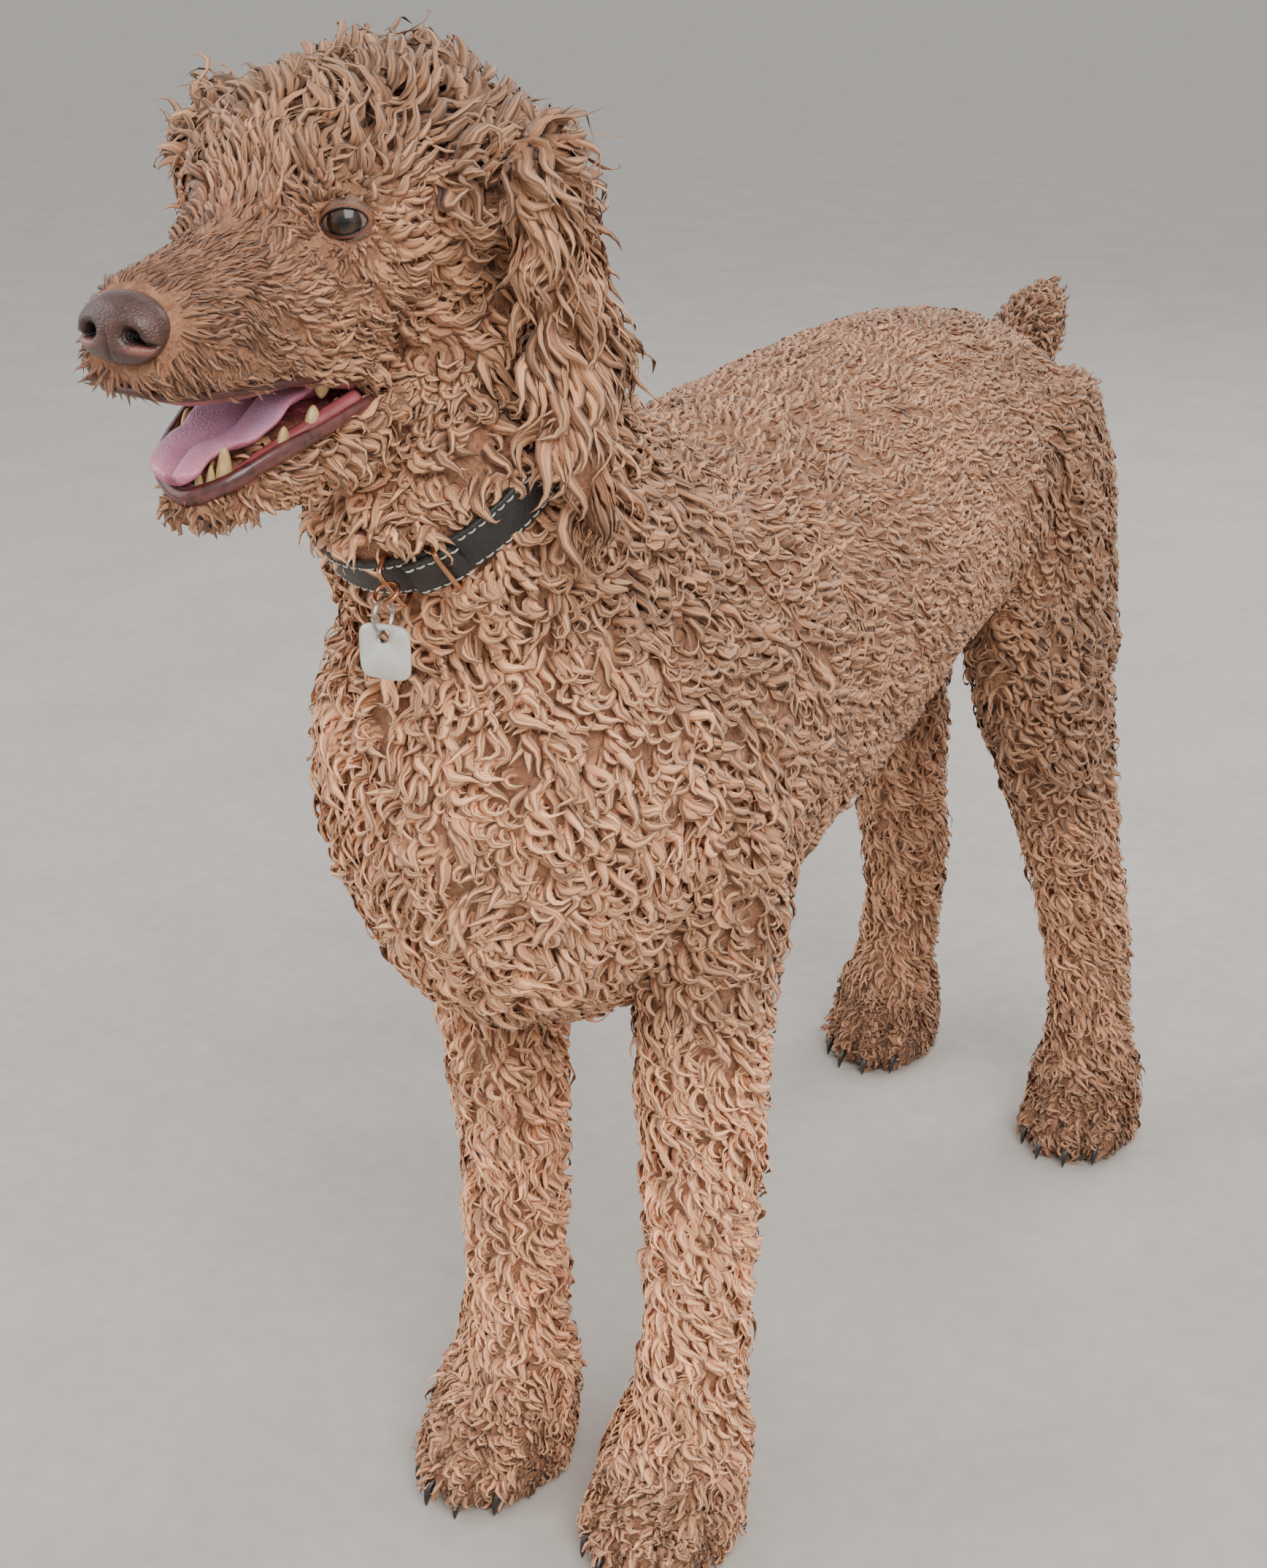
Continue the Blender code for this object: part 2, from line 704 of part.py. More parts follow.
def lock(root, run, out, length, width, lift):
    """Return one flat tapering lock, which bends away from the surface and back to it."""
    side = run.cross(out).normalized()
    points = []
    for share, wide, thick in LOCK_RINGS:
        centre = root + run * (length * share) + out * (lift * sin(pi * share))
        points.append(centre + side * (width * wide))
        points.append(centre + out * (LOCK_THICKNESS * thick))
        points.append(centre - side * (width * wide))
        points.append(centre - out * (LOCK_THICKNESS * thick * 0.6))
    points.append(root + run * length)
    faces = ring_faces(len(LOCK_RINGS), 4)[:-4]
    faces.append((0, 1, 2, 3))
    top = len(points) - 1
    for corner in range(4):
        faces.append((top - 4 + corner, top - 4 + (corner + 1) % 4, top))
    return add_object("lock", mesh_from("lock", points, faces))


def ear_locks(axes, origin, draw):
    """Return an ear's locks, in tiers that hang over one another and flare to its edges."""
    table = smooth_rows(EAR, 60)
    made = []
    for fall, count, length in EAR_TIERS:
        _, forward, half, thick = table[int(np.argmin(np.abs(table[:, 0] - fall)))]
        for place in range(count):
            across = ((place + 0.5) * 2 / count - 1) * 0.86
            bulge = np.sqrt(1 - across ** 2)
            rise = (thick - EAR_THINNING[1]) * (1 + bulge) + EAR_CUP * bulge ** 2 - 0.001
            root = origin + axes[0] * (forward + across * half) - axes[1] * fall + axes[2] * rise
            run = (axes[0] * (across * LOCK_FLARE) - axes[1]).normalized()
            size = length * draw.uniform(0.86, 1.06) * (1 - 0.18 * abs(across))
            made.append(lock(root, run, axes[2], size, LOCK_WIDTH * draw.uniform(0.9, 1.1),
                             LOCK_LIFT * draw.uniform(0.5, 1.4)))
    return made


HEAD_AXES = (HEAD_LEFT, HEAD_AHEAD, HEAD_UP)
FACE_AXES = (HEAD_LEFT, HEAD_UP, HEAD_AHEAD)
SIDES = (("left", 1), ("right", -1))
LEG_SIDES = {
    "front": (("left", 1, (0.0, 0.0)), ("right", -1, FRONT_RIGHT_SHIFT)),
    "hind": (("left", 1, (0.0, 0.0)), ("right", -1, HIND_RIGHT_SHIFT)),
}


def tube_along(name, spots, radius, kind="coat", corners=6):
    """Return a closed round tube along a line of points."""
    points = []
    count = len(spots)
    for step, spot in enumerate(spots):
        run = (spots[min(step + 1, count - 1)] - spots[max(step - 1, 0)]).normalized()
        first = run.orthogonal().normalized() if step == 0 else (first - run * first.dot(run))
        first.normalize()
        second = run.cross(first)
        for corner in range(corners):
            turn = 2 * pi * corner / corners
            points.append(spot + (first * cos(turn) + second * sin(turn)) * radius)
    faces = ring_faces(count, corners)[:-corners]
    faces.append(tuple(range(corners)))
    faces.append(tuple(range(corners * (count - 1), corners * count)))
    return add_object(name, mesh_from(name, points, faces), kind)


def lip(name, path):
    """Return one lip: a tube from the left corner of the mouth round the front to the right."""
    spots = [head_point(x, y, z) for x, y, z in path]
    spots += [head_point(-x, y, z) for x, y, z in path[-2::-1]]
    return tube_along(name, spots, LIP_RADIUS, corners=5)


def cone(name, base, tip, radius, kind="coat", corners=5, bend=Vector((0, 0, 0))):
    """Return a closed tapering spike from its base to its tip, bent sideways in its middle."""
    spots = [base, (base + tip) / 2 + bend, tip]
    run = (tip - base).normalized()
    first = run.orthogonal().normalized()
    second = run.cross(first)
    points = []
    for spot, size in zip(spots, (1.0, 0.72, 0.22)):
        for corner in range(corners):
            turn = 2 * pi * corner / corners
            points.append(spot + (first * cos(turn) + second * sin(turn)) * (radius * size))
    faces = ring_faces(3, corners)[:-corners]
    faces.append(tuple(range(corners)))
    faces.append(tuple(range(corners * 2, corners * 3)))
    return add_object(name, mesh_from(name, points, faces), kind)


def teeth(rows, sink, direction):
    """Return one jaw's teeth, each a short cone whose root is sunk in the jaw."""
    made = []
    for x, y, z, length, radius in rows:
        for _, side in SIDES:
            base = head_point(side * x, y, z - direction * sink)
            tip = head_point(side * x * 1.04, y + 0.001, z + direction * length)
            made.append(cone("tooth", base, tip, radius, corners=4))
    return made


def toe_spots(pair, side, shift):
    """Return the middles of one paw's four toes."""
    x, y = PAW_MIDDLES[pair]
    middle = Vector((side * x + shift[0], y + shift[1], TOE_SIZE[2] * 0.95))
    return [middle + Vector((across, -ahead, 0)) for across, ahead in TOES]


def clump(site, out, lie, radius, rise, lean, turn):
    """Return one rounded clump: rings that narrow to a tip, which leans along the lie."""
    across = out.cross(lie).normalized()
    along = across.cross(out)
    rings = ((-CLUMP_SINK / rise, 1.0, 0.0), CLUMP_SHOULDER)
    points = []
    for height, share, drift in rings:
        centre = site + out * (rise * height) + along * (radius * lean * drift)
        for side in range(CLUMP_SIDES):
            angle = turn + 2 * pi * side / CLUMP_SIDES
            spoke = across * cos(angle) + along * sin(angle)
            points.append(centre + spoke * (radius * share))
    points.append(site + out * rise + along * (radius * lean))
    faces = ring_faces(len(rings), CLUMP_SIDES)[:-CLUMP_SIDES]
    faces.append(tuple(range(CLUMP_SIDES)))
    top = len(points) - 1
    for side in range(CLUMP_SIDES):
        faces.append((top - CLUMP_SIDES + side, top - CLUMP_SIDES + (side + 1) % CLUMP_SIDES, top))
    return add_object("clump", mesh_from("clump", points, faces))


def sites(grid, tips, spacing, draw):
    """Return staggered places on a fine grid: point, outward direction, lie and depth of coat."""
    rows, sides = grid.shape[:2]
    steps = np.linalg.norm(np.diff(grid, axis=0), axis=2).mean(axis=1)
    along = np.concatenate([[0.0], np.cumsum(steps)])
    middle = grid.mean(axis=1)
    count = max(int(round(along[-1] / (spacing * 0.87))), 1)
    found = []
    for step in range(count + 1):
        row = int(np.argmin(np.abs(along - along[-1] * step / count)))
        circle = grid[row]
        run = np.linalg.norm(np.roll(circle, -1, axis=0) - circle, axis=1)
        around = np.concatenate([[0.0], np.cumsum(run)])
        places = max(int(round(around[-1] / spacing)), 1)
        for place in range(places):
            share = (place + 0.5 * (step % 2) + draw.uniform(-0.03, 0.03)) / places
            side = int(np.searchsorted(around, around[-1] * (share % 1.0))) % sides
            point = grid[row, side]
            lie = grid[min(row + 1, rows - 1), side] - grid[max(row - 1, 0), side]
            edge = grid[row, (side + 1) % sides] - grid[row, side - 1]
            out = np.cross(lie, edge)
            if np.dot(out, point - middle[row]) < 0:
                out = -out
            out = Vector(out).normalized()
            rise = (Vector(tips[row, side]) - Vector(point)).dot(out)
            found.append((Vector(point), out, Vector(lie).normalized(), rise))
    return found


def tree_of(item):
    """Return a search tree of a closed object's surface."""
    mesh = item.data
    return BVHTree.FromPolygons([v.co for v in mesh.vertices], [p.vertices for p in mesh.polygons])


def lies_in(tree, point):
    """Tell whether a point lies inside a closed surface, by the faces above it."""
    crossings = 0
    start = point.copy()
    while True:
        spot = tree.ray_cast(start, RAY)[0]
        if spot is None:
            return crossings % 2 == 1
        crossings += 1
        start = spot + RAY * 1e-5


def coated(point):
    """Tell whether the coat stands in clumps at a place; the muzzle, eyes and paws are bare."""
    if point.z < PAW_TOP:
        return False
    local = point - EYE_MIDDLE
    side, ahead, up = (local.dot(axis) for axis in HEAD_AXES)
    if ahead < -0.15 or abs(side) > 0.1 or up < -0.16:
        return True
    eye = Vector((EYE_OFFSET, EYE_FORWARD, 0))
    if (Vector((abs(side), ahead, up)) - eye).length < EYE_CLEAR:
        return False
    under_ear = abs(side) > 0.05 and -0.12 < ahead < -0.045 and -0.09 < up < 0.01
    return not under_ear


def coat_places(region, grid_at, others, draw, taken, fine, room):
    """Add the places of one region's clumps to those taken, if nothing hides or crowds them."""
    depth, spacing, radius, lean = COATS[region]
    for point, out, lie, rise in sites(grid_at(depth), grid_at(0.0), spacing * fine, draw):
        spread = draw.uniform(1 - SIZE_SPREAD, 1 + SIZE_SPREAD, 2)
        turn = CLUMP_TURN + draw.uniform(-TURN_SPREAD, TURN_SPREAD)
        middle = point + out * (rise * 0.6)
        if rise < LEAST_RISE or not coated(point):
            continue
        if any((middle - other[0]).length < room * (radius + other[1]) for other in taken):
            continue
        if any(lies_in(tree, middle) for tree in others):
            continue
        tall = (rise + TIP_REACH) * spread[0]
        taken.append((middle, radius * spread[1], point, out, lie, tall, lean, turn))


def clumps_at(taken):
    """Return the clumps at the places taken, each as wide as its nearest neighbour allows."""
    middles = np.array([place[0] for place in taken])
    made = []
    for index, (middle, radius, point, out, lie, tall, lean, turn) in enumerate(taken):
        away = np.linalg.norm(middles - middles[index], axis=1)
        away[index] = 1.0
        size = min(radius, CLUMP_SHARE * away.min())
        made.append(clump(point, out, lie, size, tall, lean, turn))
    return made


def surfaces():
    """Return each region's surface as a function of depth and fineness, with its coat's name."""
    found = {
        "torso": ("torso", lambda depth, *fine: torso_grid(depth, *fine)),
        "neck": ("neck", lambda depth, *fine: neck_grid(depth, *fine)[::-1]),
        "head": ("head", lambda depth, *fine: head_grid(SKULL, depth, *(fine or (12, 12)),
                                                        crown_cover)[::-1]),
        "jaw": ("jaw", lambda depth, *fine: head_grid(JAW, depth, *(fine or (7, 8)))[::-1]),
        "tail": ("tail", lambda depth, *fine: tail_grid(depth, *fine)),
    }
    for pair, stations in (("front", FRONT_LEG), ("hind", HIND_LEG)):
        for name, side, shift in LEG_SIDES[pair]:
            place = (side, shift)
            found[f"{pair}_{name}"] = ("leg", lambda depth, *fine, rows=stations, place=place:
                                       leg_grid(rows, depth, *place, *fine))
    return found


def make_body():
    """Return the whole body as one closed surface, before it is parted."""
    draw = np.random.default_rng(SEED)
    found = surfaces()
    cores = {name: shell(name, grid_at(COATS[region][0]))
             for name, (region, grid_at) in found.items()}
    trees = {name: tree_of(core) for name, core in cores.items()}
    taken = []
    for fine, room in CLUMP_ROUNDS:
        for name, (region, grid_at) in found.items():
            if region in BARE:
                continue
            others = [tree for other, tree in trees.items() if other != name]
            coat_places(region, lambda depth: grid_at(depth, 90, 72), others, draw, taken, fine,
                        room)
    toes = []
    for pair in ("front", "hind"):
        for name, side, shift in LEG_SIDES[pair]:
            for spot in toe_spots(pair, side, shift):
                toes.append(oval("toe", spot, TOE_SIZE, WORLD_AXES, rows=4, sides=5))
    pieces = [*cores.values(), lip("upper_lip", UPPER_LIP), lip("lower_lip", LOWER_LIP)]
    for _, side in SIDES:
        spot = head_point(side * EAR_ROOT[0], *EAR_ROOT[1:])
        pieces.append(oval("ear_root", spot, EAR_ROOT_SIZE, HEAD_AXES, rows=5, sides=8))
    body = fuse(pieces + toes + clumps_at(taken))
    square = ((-1, -1), (1, -1), (1, 1), (-1, 1))
    cut(body, [prism("floor", square, -0.1, 0.0, WORLD_AXES, Vector((0, 0, 0)))])
    return body


def make_claws(body):
    """Add the sixteen claws and make room for each in its toe."""
    for pair in ("front", "hind"):
        for name, side, shift in LEG_SIDES[pair]:
            for number, spot in enumerate(toe_spots(pair, side, shift), 1):
                root = spot + Vector((0, -TOE_SIZE[1] + 0.004, -0.002))
                tip = root + Vector((0, -CLAW_LENGTH, -(root.z - CLAW_RADIUS * 0.25)))
                bend = Vector((0, -0.002, 0.0025))
                label = f"claw_{pair}_{name}_{number}"
                cut(body, [cone("room", root + Vector((0, GAP, 0)), tip, CLAW_RADIUS + GAP,
                                corners=4, bend=bend)])
                cone(label, root, tip, CLAW_RADIUS, "claw", 4, bend)


def make_eyes(body):
    """Add both eyes, with lids raised round them in the face."""
    for label, side in SIDES:
        centre = head_point(side * EYE_OFFSET, EYE_FORWARD, 0)
        gaze = (HEAD_AHEAD + HEAD_LEFT * side * EYE_TURN).normalized()
        across = gaze.cross(HEAD_UP).normalized()
        rise = across.cross(gaze)
        rim = hoop("lids", centre + gaze * LID_FORWARD, across, rise, *LID_SIZE, LID_RADIUS, 10,
                   "coat", 4)
        fuse([body, rim])
        axes = (across, rise, gaze)
        cut(body, [oval("socket", centre, [EYE_RADIUS + GAP] * 3, axes, rows=8, sides=10)])
        oval("eye_" + label, centre, [EYE_RADIUS] * 3, axes, "eye", rows=8, sides=10)


def make_nose(body):
    """Add the nose with its nostrils and the groove below them."""
    centre = head_point(*NOSE_CENTRE)
    nose = oval("nose", centre, NOSE_SIZE, HEAD_AXES, "nose", rows=7, sides=10)
    holes = []
    for _, side in SIDES:
        spot = head_point(side * 0.0095, NOSE_CENTRE[1] + 0.0115, NOSE_CENTRE[2] - 0.0005)
        holes.append(oval("nostril", spot, (0.0042, 0.0060, 0.0036), HEAD_AXES, rows=4, sides=7))
        slit = head_point(side * 0.0145, NOSE_CENTRE[1] + 0.0070, NOSE_CENTRE[2] - 0.0020)
        holes.append(oval("slit", slit, (0.0050, 0.0050, 0.0014), HEAD_AXES, rows=3, sides=6))
    groove = ((-0.0007, -0.03), (0.0007, -0.03), (0.0007, -0.003), (-0.0007, -0.003))
    holes.append(prism("groove", groove, 0.0115, 0.03, FACE_AXES, centre))
    cut(nose, holes)
    grown = [size + GAP for size in NOSE_SIZE]
    cut(body, [oval("nose_room", centre, grown, HEAD_AXES, rows=7, sides=10)])


def make_ears(body):
    """Add both ears with their locks and clear the coat under them."""
    draw = np.random.default_rng(SEED + 1)
    wide = ((-0.4, -0.4), (0.4, -0.4), (0.4, 0.4), (-0.4, 0.4))
    for label, side in SIDES:
        axes, origin = ear_frame(label, side)
        ear = fuse([shell("ear_" + label, ear_grid(axes, origin)), *ear_locks(axes, origin, draw)])
        cut(ear, [prism("flat", wide, -0.1, GAP, axes, origin)])
        outline = []
        for vertex in ear.data.vertices:
            local = vertex.co - origin
            outline.append((round(local.dot(axes[0]), 3), round(local.dot(axes[1]), 3)))
        room = prism("ear_room", convex(outline), EAR_CLEAR, 0.2, axes, origin, EAR_CLEAR)
        cut(body, [room])


def make_mouth(head, jaw):
    """Hollow the mouth, set the teeth and lay the tongue in it."""
    fuse([head] + teeth(UPPER_TEETH, 0.006, -1))
    fuse([jaw] + teeth(LOWER_TEETH, 0.006, 1))
    room = shell("tongue_room", path_grid(TONGUE, 8, 0.0005))
    cut(head, [copy_of(room, "room")])
    cut(jaw, [room])
    shell("tongue", path_grid(TONGUE, 8), "tongue")


def convex(outline):
    """Return the convex hull of a few points, in order."""
    ordered = sorted(set(outline))
    hull = []
    for run in (ordered, ordered[::-1]):
        chain = []
        for p in run:
            while len(chain) > 1:
                ax, ay = chain[-1][0] - chain[-2][0], chain[-1][1] - chain[-2][1]
                bx, by = p[0] - chain[-2][0], p[1] - chain[-2][1]
                if ax * by - ay * bx > 0:
                    break
                chain.pop()
            chain.append(p)
        hull += chain[:-1]
    return hull


def part_legs(body):
    """Cut the legs off the body, then the paws off the legs."""
    across = (Vector((1, 0, 0)), Vector((0, 0, 1)), Vector((0, 1, 0)))
    box = ((-0.3, -0.5), (0.3, -0.5), (0.3, 0.6), (-0.3, 0.6))
    for name, side, shift in LEG_SIDES["front"]:
        outline = ((side * 0.001, -0.05), (side * 0.001, 0.285), (side * 0.17, 0.42),
                   (side * 0.17, -0.05))
        leg = part_off(body, "front_leg_" + name, outline, -0.33, -0.06, across)
        part_off(leg, "front_paw_" + name, box, -0.1, PAW_TOP)
        keep_largest(leg)
    for name, side, shift in LEG_SIDES["hind"]:
        outline = ((side * 0.004, -0.05), (side * 0.004, 0.370), (side * 0.18, 0.54),
                   (side * 0.18, -0.05))
        thigh = part_off(body, "thigh_" + name, outline, 0.165, 0.46, across)
        shank = part_off(thigh, "hind_leg_" + name, box, -0.1, KNEE_CUT)
        keep_largest(thigh)
        part_off(shank, "hind_paw_" + name, box, -0.1, PAW_TOP)
        keep_largest(shank)


def part_trunk(body):
    """Cut the tail, head, neck and jaw off the body, and return the last three."""
    tail_axis = (TAIL_TIP - TAIL_ROOT).normalized()
    side = Vector((1, 0, 0))
    square = ((-0.06, -0.06), (0.06, -0.06), (0.06, 0.06), (-0.06, 0.06))
    part_off(body, "tail", square, TAIL_CUT, 0.2, (side, tail_axis.cross(side), tail_axis),
             TAIL_ROOT)
    wide = ((-0.3, -0.5), (0.3, -0.5), (0.3, 0.5), (-0.3, 0.5))
    tall = Vector((0, cos(NECK_LEAN), sin(NECK_LEAN)))
    axes = (side, tall, side.cross(tall))
    head = part_off(body, "head", wide, 0.0, 0.5, axes, Vector((0, *NECK_CUT)))
    neck = part_off(body, "neck", wide, 0.0, 0.5, axes, Vector((0, *NECK_BASE_CUT)))
    jaw = part_off(head, "lower_jaw", JAW_CUT, -0.1, 0.1, (HEAD_AHEAD, HEAD_UP, HEAD_LEFT),
                   EYE_MIDDLE)
    keep_largest(head)
    keep_largest(body)
    return head, neck, jaw


def box_on(name, turn, out, along, half_turn, kind, grow=0.0):
    """Return a block on the strap between two distances out and along, centred on a turn."""
    ahead = (collar_spot(turn + 0.01) - collar_spot(turn - 0.01)).normalized()
    away = (collar_spot(turn, 1.0) - collar_spot(turn)).normalized()
    outline = ((out[0], along[0]), (out[1], along[0]), (out[1], along[1]), (out[0], along[1]))
    made = prism(name, outline, -half_turn, half_turn, (away, COLLAR_AXIS, ahead),
                 collar_spot(turn), grow)
    made.data.materials.clear()
    made.data.materials.append(finish_material(kind))
    return made


def make_collar(neck):
    """Add the strap with its slides, ring and tag, and clear the coat round them."""
    half = STRAP_WIDTH / 2
    rooms = [band("groove", -GAP, 0.05, half + GAP, "coat")]
    band("collar", 0.0, STRAP_THICKNESS, half, "leather")
    for number, turn in enumerate(SLIDE_TURNS, 1):
        slide = box_on(f"slide_{number}", turn, (-0.0020, SLIDE_OUT), (-half - 0.0020, half + 0.0020),
                       0.0012, "copper")
        cut(slide, [box_on("hole", turn, (-0.0008, SLIDE_OUT - 0.0012),
                           (-half - 0.0008, half + 0.0008), 0.01, "copper")])
        rooms.append(box_on("room", turn, (-0.0026, 0.05), (-half - 0.0026, half + 0.0026), 0.0020,
                            "coat"))
    start = SLIDE_TURNS[0] + 0.13
    band("strap_end", STRAP_THICKNESS + GAP, 2 * STRAP_THICKNESS, half - 0.001, "leather", 6, start,
         SLIDE_TURNS[1] + 0.12 - start)
    down = Vector((0, 0, -1))
    turn = SLIDE_TURNS[0]
    side = (collar_spot(turn + 0.01) - collar_spot(turn - 0.01)).normalized()
    away = (collar_spot(turn, 1.0) - collar_spot(turn)).normalized()
    face = down.cross(side).normalized()
    if face.dot(away) < 0:
        face.negate()
    middle = collar_spot(turn, SLIDE_OUT + RING_RADIUS - 0.0027, RING_RAISE)
    hoop("d_ring", middle, side, away, RING_RADIUS, RING_RADIUS, 0.0010, 14, "copper", 4)
    middle = middle + away * RING_RADIUS + down * (SPLIT_RADIUS - 0.0024)
    hoop("split_ring", middle, face, down, SPLIT_RADIUS, SPLIT_RADIUS, 0.0008, 16, "steel", 4)
    low = middle + down * SPLIT_RADIUS
    hole = low + down * 0.0015
    make_tag(hole, face, down)
    rooms.append(prism("tag_room", ((-0.02, -0.005), (0.02, -0.005), (0.02, 0.06), (-0.02, 0.06)),
                       -0.010, 0.05, (side, down, face), collar_spot(turn)))
    cut(neck, rooms)


def make_tag(hole, face, down):
    """Add the blank square tag, which hangs by a hole near its top edge."""
    side = down.cross(face)
    half = TAG_SIZE / 2
    corner = TAG_SIZE / 6
    outline = []
    for step in range(4):
        for part in range(4):
            turn = pi / 2 * (step + part / 3)
            spoke = Vector((cos(turn), sin(turn)))
            quarter = pi / 2 * step + pi / 4
            base = Vector((1 if cos(quarter) > 0 else -1, 1 if sin(quarter) > 0 else -1))
            outline.append(base * (half - corner) + spoke * corner)
    centre = hole + down * (half - TAG_HOLE_DROP)
    tag = prism("tag", outline, -TAG_THICKNESS / 2, TAG_THICKNESS / 2, (side, down, face), centre)
    tag.data.materials.clear()
    tag.data.materials.append(finish_material("tag"))
    bore = [(0.0026 * cos(2 * pi * step / 10), 0.0026 * sin(2 * pi * step / 10))
            for step in range(10)]
    cut(tag, [prism("bore", bore, -0.01, 0.01, (side, down, face), hole)])


def settle():
    """Move everything so that the origin is the middle of the bottom of the box."""
    low = Vector((1e9, 1e9, 1e9))
    high = -low
    for item in bpy.data.objects:
        for vertex in item.data.vertices:
            for axis in range(3):
                low[axis] = min(low[axis], vertex.co[axis])
                high[axis] = max(high[axis], vertex.co[axis])
    middle = Vector(((low.x + high.x) / 2, (low.y + high.y) / 2, low.z))
    for item in bpy.data.objects:
        for vertex in item.data.vertices:
            vertex.co -= middle


def main():
    """Build every node and set the origin."""
    clear_scene()
    body = make_body()
    make_eyes(body)
    make_nose(body)
    make_claws(body)
    make_ears(body)
    part_legs(body)
    head, neck, jaw = part_trunk(body)
    make_mouth(head, jaw)
    make_collar(neck)
    settle()


main()
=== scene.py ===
"""The looks of a standard poodle that stands with its mouth open and wears a collar.

One skin is lofted from the body's tables and carries a coat of curled locks. The face, the mouth,
the claws and the collar are surfaces of their own. Sizes are in metres, or in millimetres where
that is said, and places are in the stance: +X is the dog's left, -Y is forward, the floor is
z = 0. Each finished mesh is moved to the model's frame.
"""

import logging
from dataclasses import dataclass, field
from enum import Enum
from math import cos, pi, radians, sin
from typing import Protocol

import bpy
import numpy as np
from mathutils import Matrix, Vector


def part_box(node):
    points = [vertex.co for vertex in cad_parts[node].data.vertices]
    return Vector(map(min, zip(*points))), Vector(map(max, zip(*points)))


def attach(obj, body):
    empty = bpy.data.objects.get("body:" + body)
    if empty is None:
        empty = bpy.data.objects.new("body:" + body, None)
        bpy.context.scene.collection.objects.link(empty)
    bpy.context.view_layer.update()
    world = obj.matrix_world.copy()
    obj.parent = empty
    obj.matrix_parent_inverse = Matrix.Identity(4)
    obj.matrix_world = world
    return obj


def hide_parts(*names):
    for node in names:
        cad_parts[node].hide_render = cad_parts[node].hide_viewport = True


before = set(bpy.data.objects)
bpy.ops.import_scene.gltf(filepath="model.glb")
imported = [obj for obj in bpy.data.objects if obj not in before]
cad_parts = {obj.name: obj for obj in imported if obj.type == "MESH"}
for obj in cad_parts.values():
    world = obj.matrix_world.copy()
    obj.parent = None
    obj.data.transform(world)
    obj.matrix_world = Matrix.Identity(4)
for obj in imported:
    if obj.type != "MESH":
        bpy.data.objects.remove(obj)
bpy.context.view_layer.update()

LOG = logging.getLogger("poodle")
Array = np.ndarray
Socket = bpy.types.NodeSocket
Material = bpy.types.Material
Object = bpy.types.Object
Rows = tuple[tuple[float, ...], ...]

EYE_MIDDLE = np.array((-0.018, -0.350, 0.723))
HEAD_YAW = radians(5.4)
HEAD_PITCH = radians(4.0)
HEAD_ROLL = radians(-3.1)
EYE_PLACE = (0.031, 0.001, 0.0)
EYE_RADIUS = 0.0115
EYE_TURN = 0.50
NOSE_CENTRE = (0.0, 0.093, -0.037)
STRAP_WIDTH = 0.020
STRAP_THICKNESS = 0.0035


def mm(*rows: tuple[float, ...]) -> Rows:
    """Return rows of millimetres in metres."""
    return tuple(tuple(size / 1000 for size in row) for row in rows)


# Lips in the head frame, from the corner of the mouth to the front: side, forward, height.
UPPER_LIP: Rows = mm(
    (38, -14, -62.5), (34, 10, -60), (31, 36, -58.5), (26, 66, -60), (16, 87, -61), (0, 92, -60),
)
LOWER_LIP: Rows = mm(
    (38, -10, -69.5), (33, 13, -78.5), (24.5, 40, -89), (15.5, 55, -98), (0, 61, -104.5),
)
# Middles of the left paws, how far each leg stands from its place or from its mirror image, and
# the toes as side and forward offsets.
PAW_MIDDLES = {"front": (0.066, -0.200), "hind": (0.099, 0.323)}
LEG_SHIFTS = {
    ("front", 1): (0.0, 0.0), ("front", -1): (0.018, 0.001),
    ("hind", 1): (0.0, 0.0), ("hind", -1): (0.017, 0.042),
}
TOES = ((-0.027, 0.018), (-0.010, 0.032), (0.010, 0.032), (0.027, 0.018))
# Ears: how far out of the head's middle each hangs, its lean outwards and its set back.
EAR_HANG = {1: (0.072, radians(8.5), 0.0), -1: (0.064, radians(0.5), 0.012)}
SIDE_NAMES = {1: "left", -1: "right"}
# What is forward of this, or lower than this, lies clear of the collar.
FACE_STARTS = 0.05
COLLAR_FLOOR = 0.5
# Columns of the growth numbers, after the three of the lie.
LENGTH, WIDTH, LIFT, TURN, WAVE, SPACING, STRANDS, TONE, RED = range(3, 12)


def unit(vectors: Array) -> Array:
    """Return vectors scaled to length one."""
    return vectors / np.maximum(np.linalg.norm(vectors, axis=-1, keepdims=True), 1e-12)


def head_axes() -> Array:
    """Return the head's left, forward and up directions as rows.

    Returns:
        A 3 by 3 array, turned by the yaw about the vertical, then the pitch, then the roll.
    """
    left = np.array((cos(HEAD_YAW), sin(HEAD_YAW), 0.0))
    level = cos(HEAD_PITCH)
    ahead = np.array((sin(HEAD_YAW) * level, -cos(HEAD_YAW) * level, sin(HEAD_PITCH)))
    up = np.cross(ahead, left)
    return np.array((
        left * cos(HEAD_ROLL) + up * sin(HEAD_ROLL),
        ahead,
        up * cos(HEAD_ROLL) - left * sin(HEAD_ROLL),
    ))


HEAD = head_axes()


def on_head(local: Array | tuple) -> Array:
    """Return head-frame points (side, forward, up) in the stance."""
    return EYE_MIDDLE + np.asarray(local, float) @ HEAD


def in_head(points: Array) -> Array:
    """Return stance points in the head frame."""
    return (points - EYE_MIDDLE) @ HEAD.T


def stance_shift() -> Array:
    """Return the step from the stance to the model's frame, read at the left eye's middle."""
    low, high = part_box("eye_left")
    return (np.array(low) + np.array(high)) / 2 - on_head(EYE_PLACE)


def paw_middle(pair: str, side: int) -> tuple[float, float]:
    """Return where a paw's middle stands on the floor, sideways and backwards."""
    (x, y), shift = PAW_MIDDLES[pair], LEG_SHIFTS[pair, side]
    return side * x + shift[0], y + shift[1]


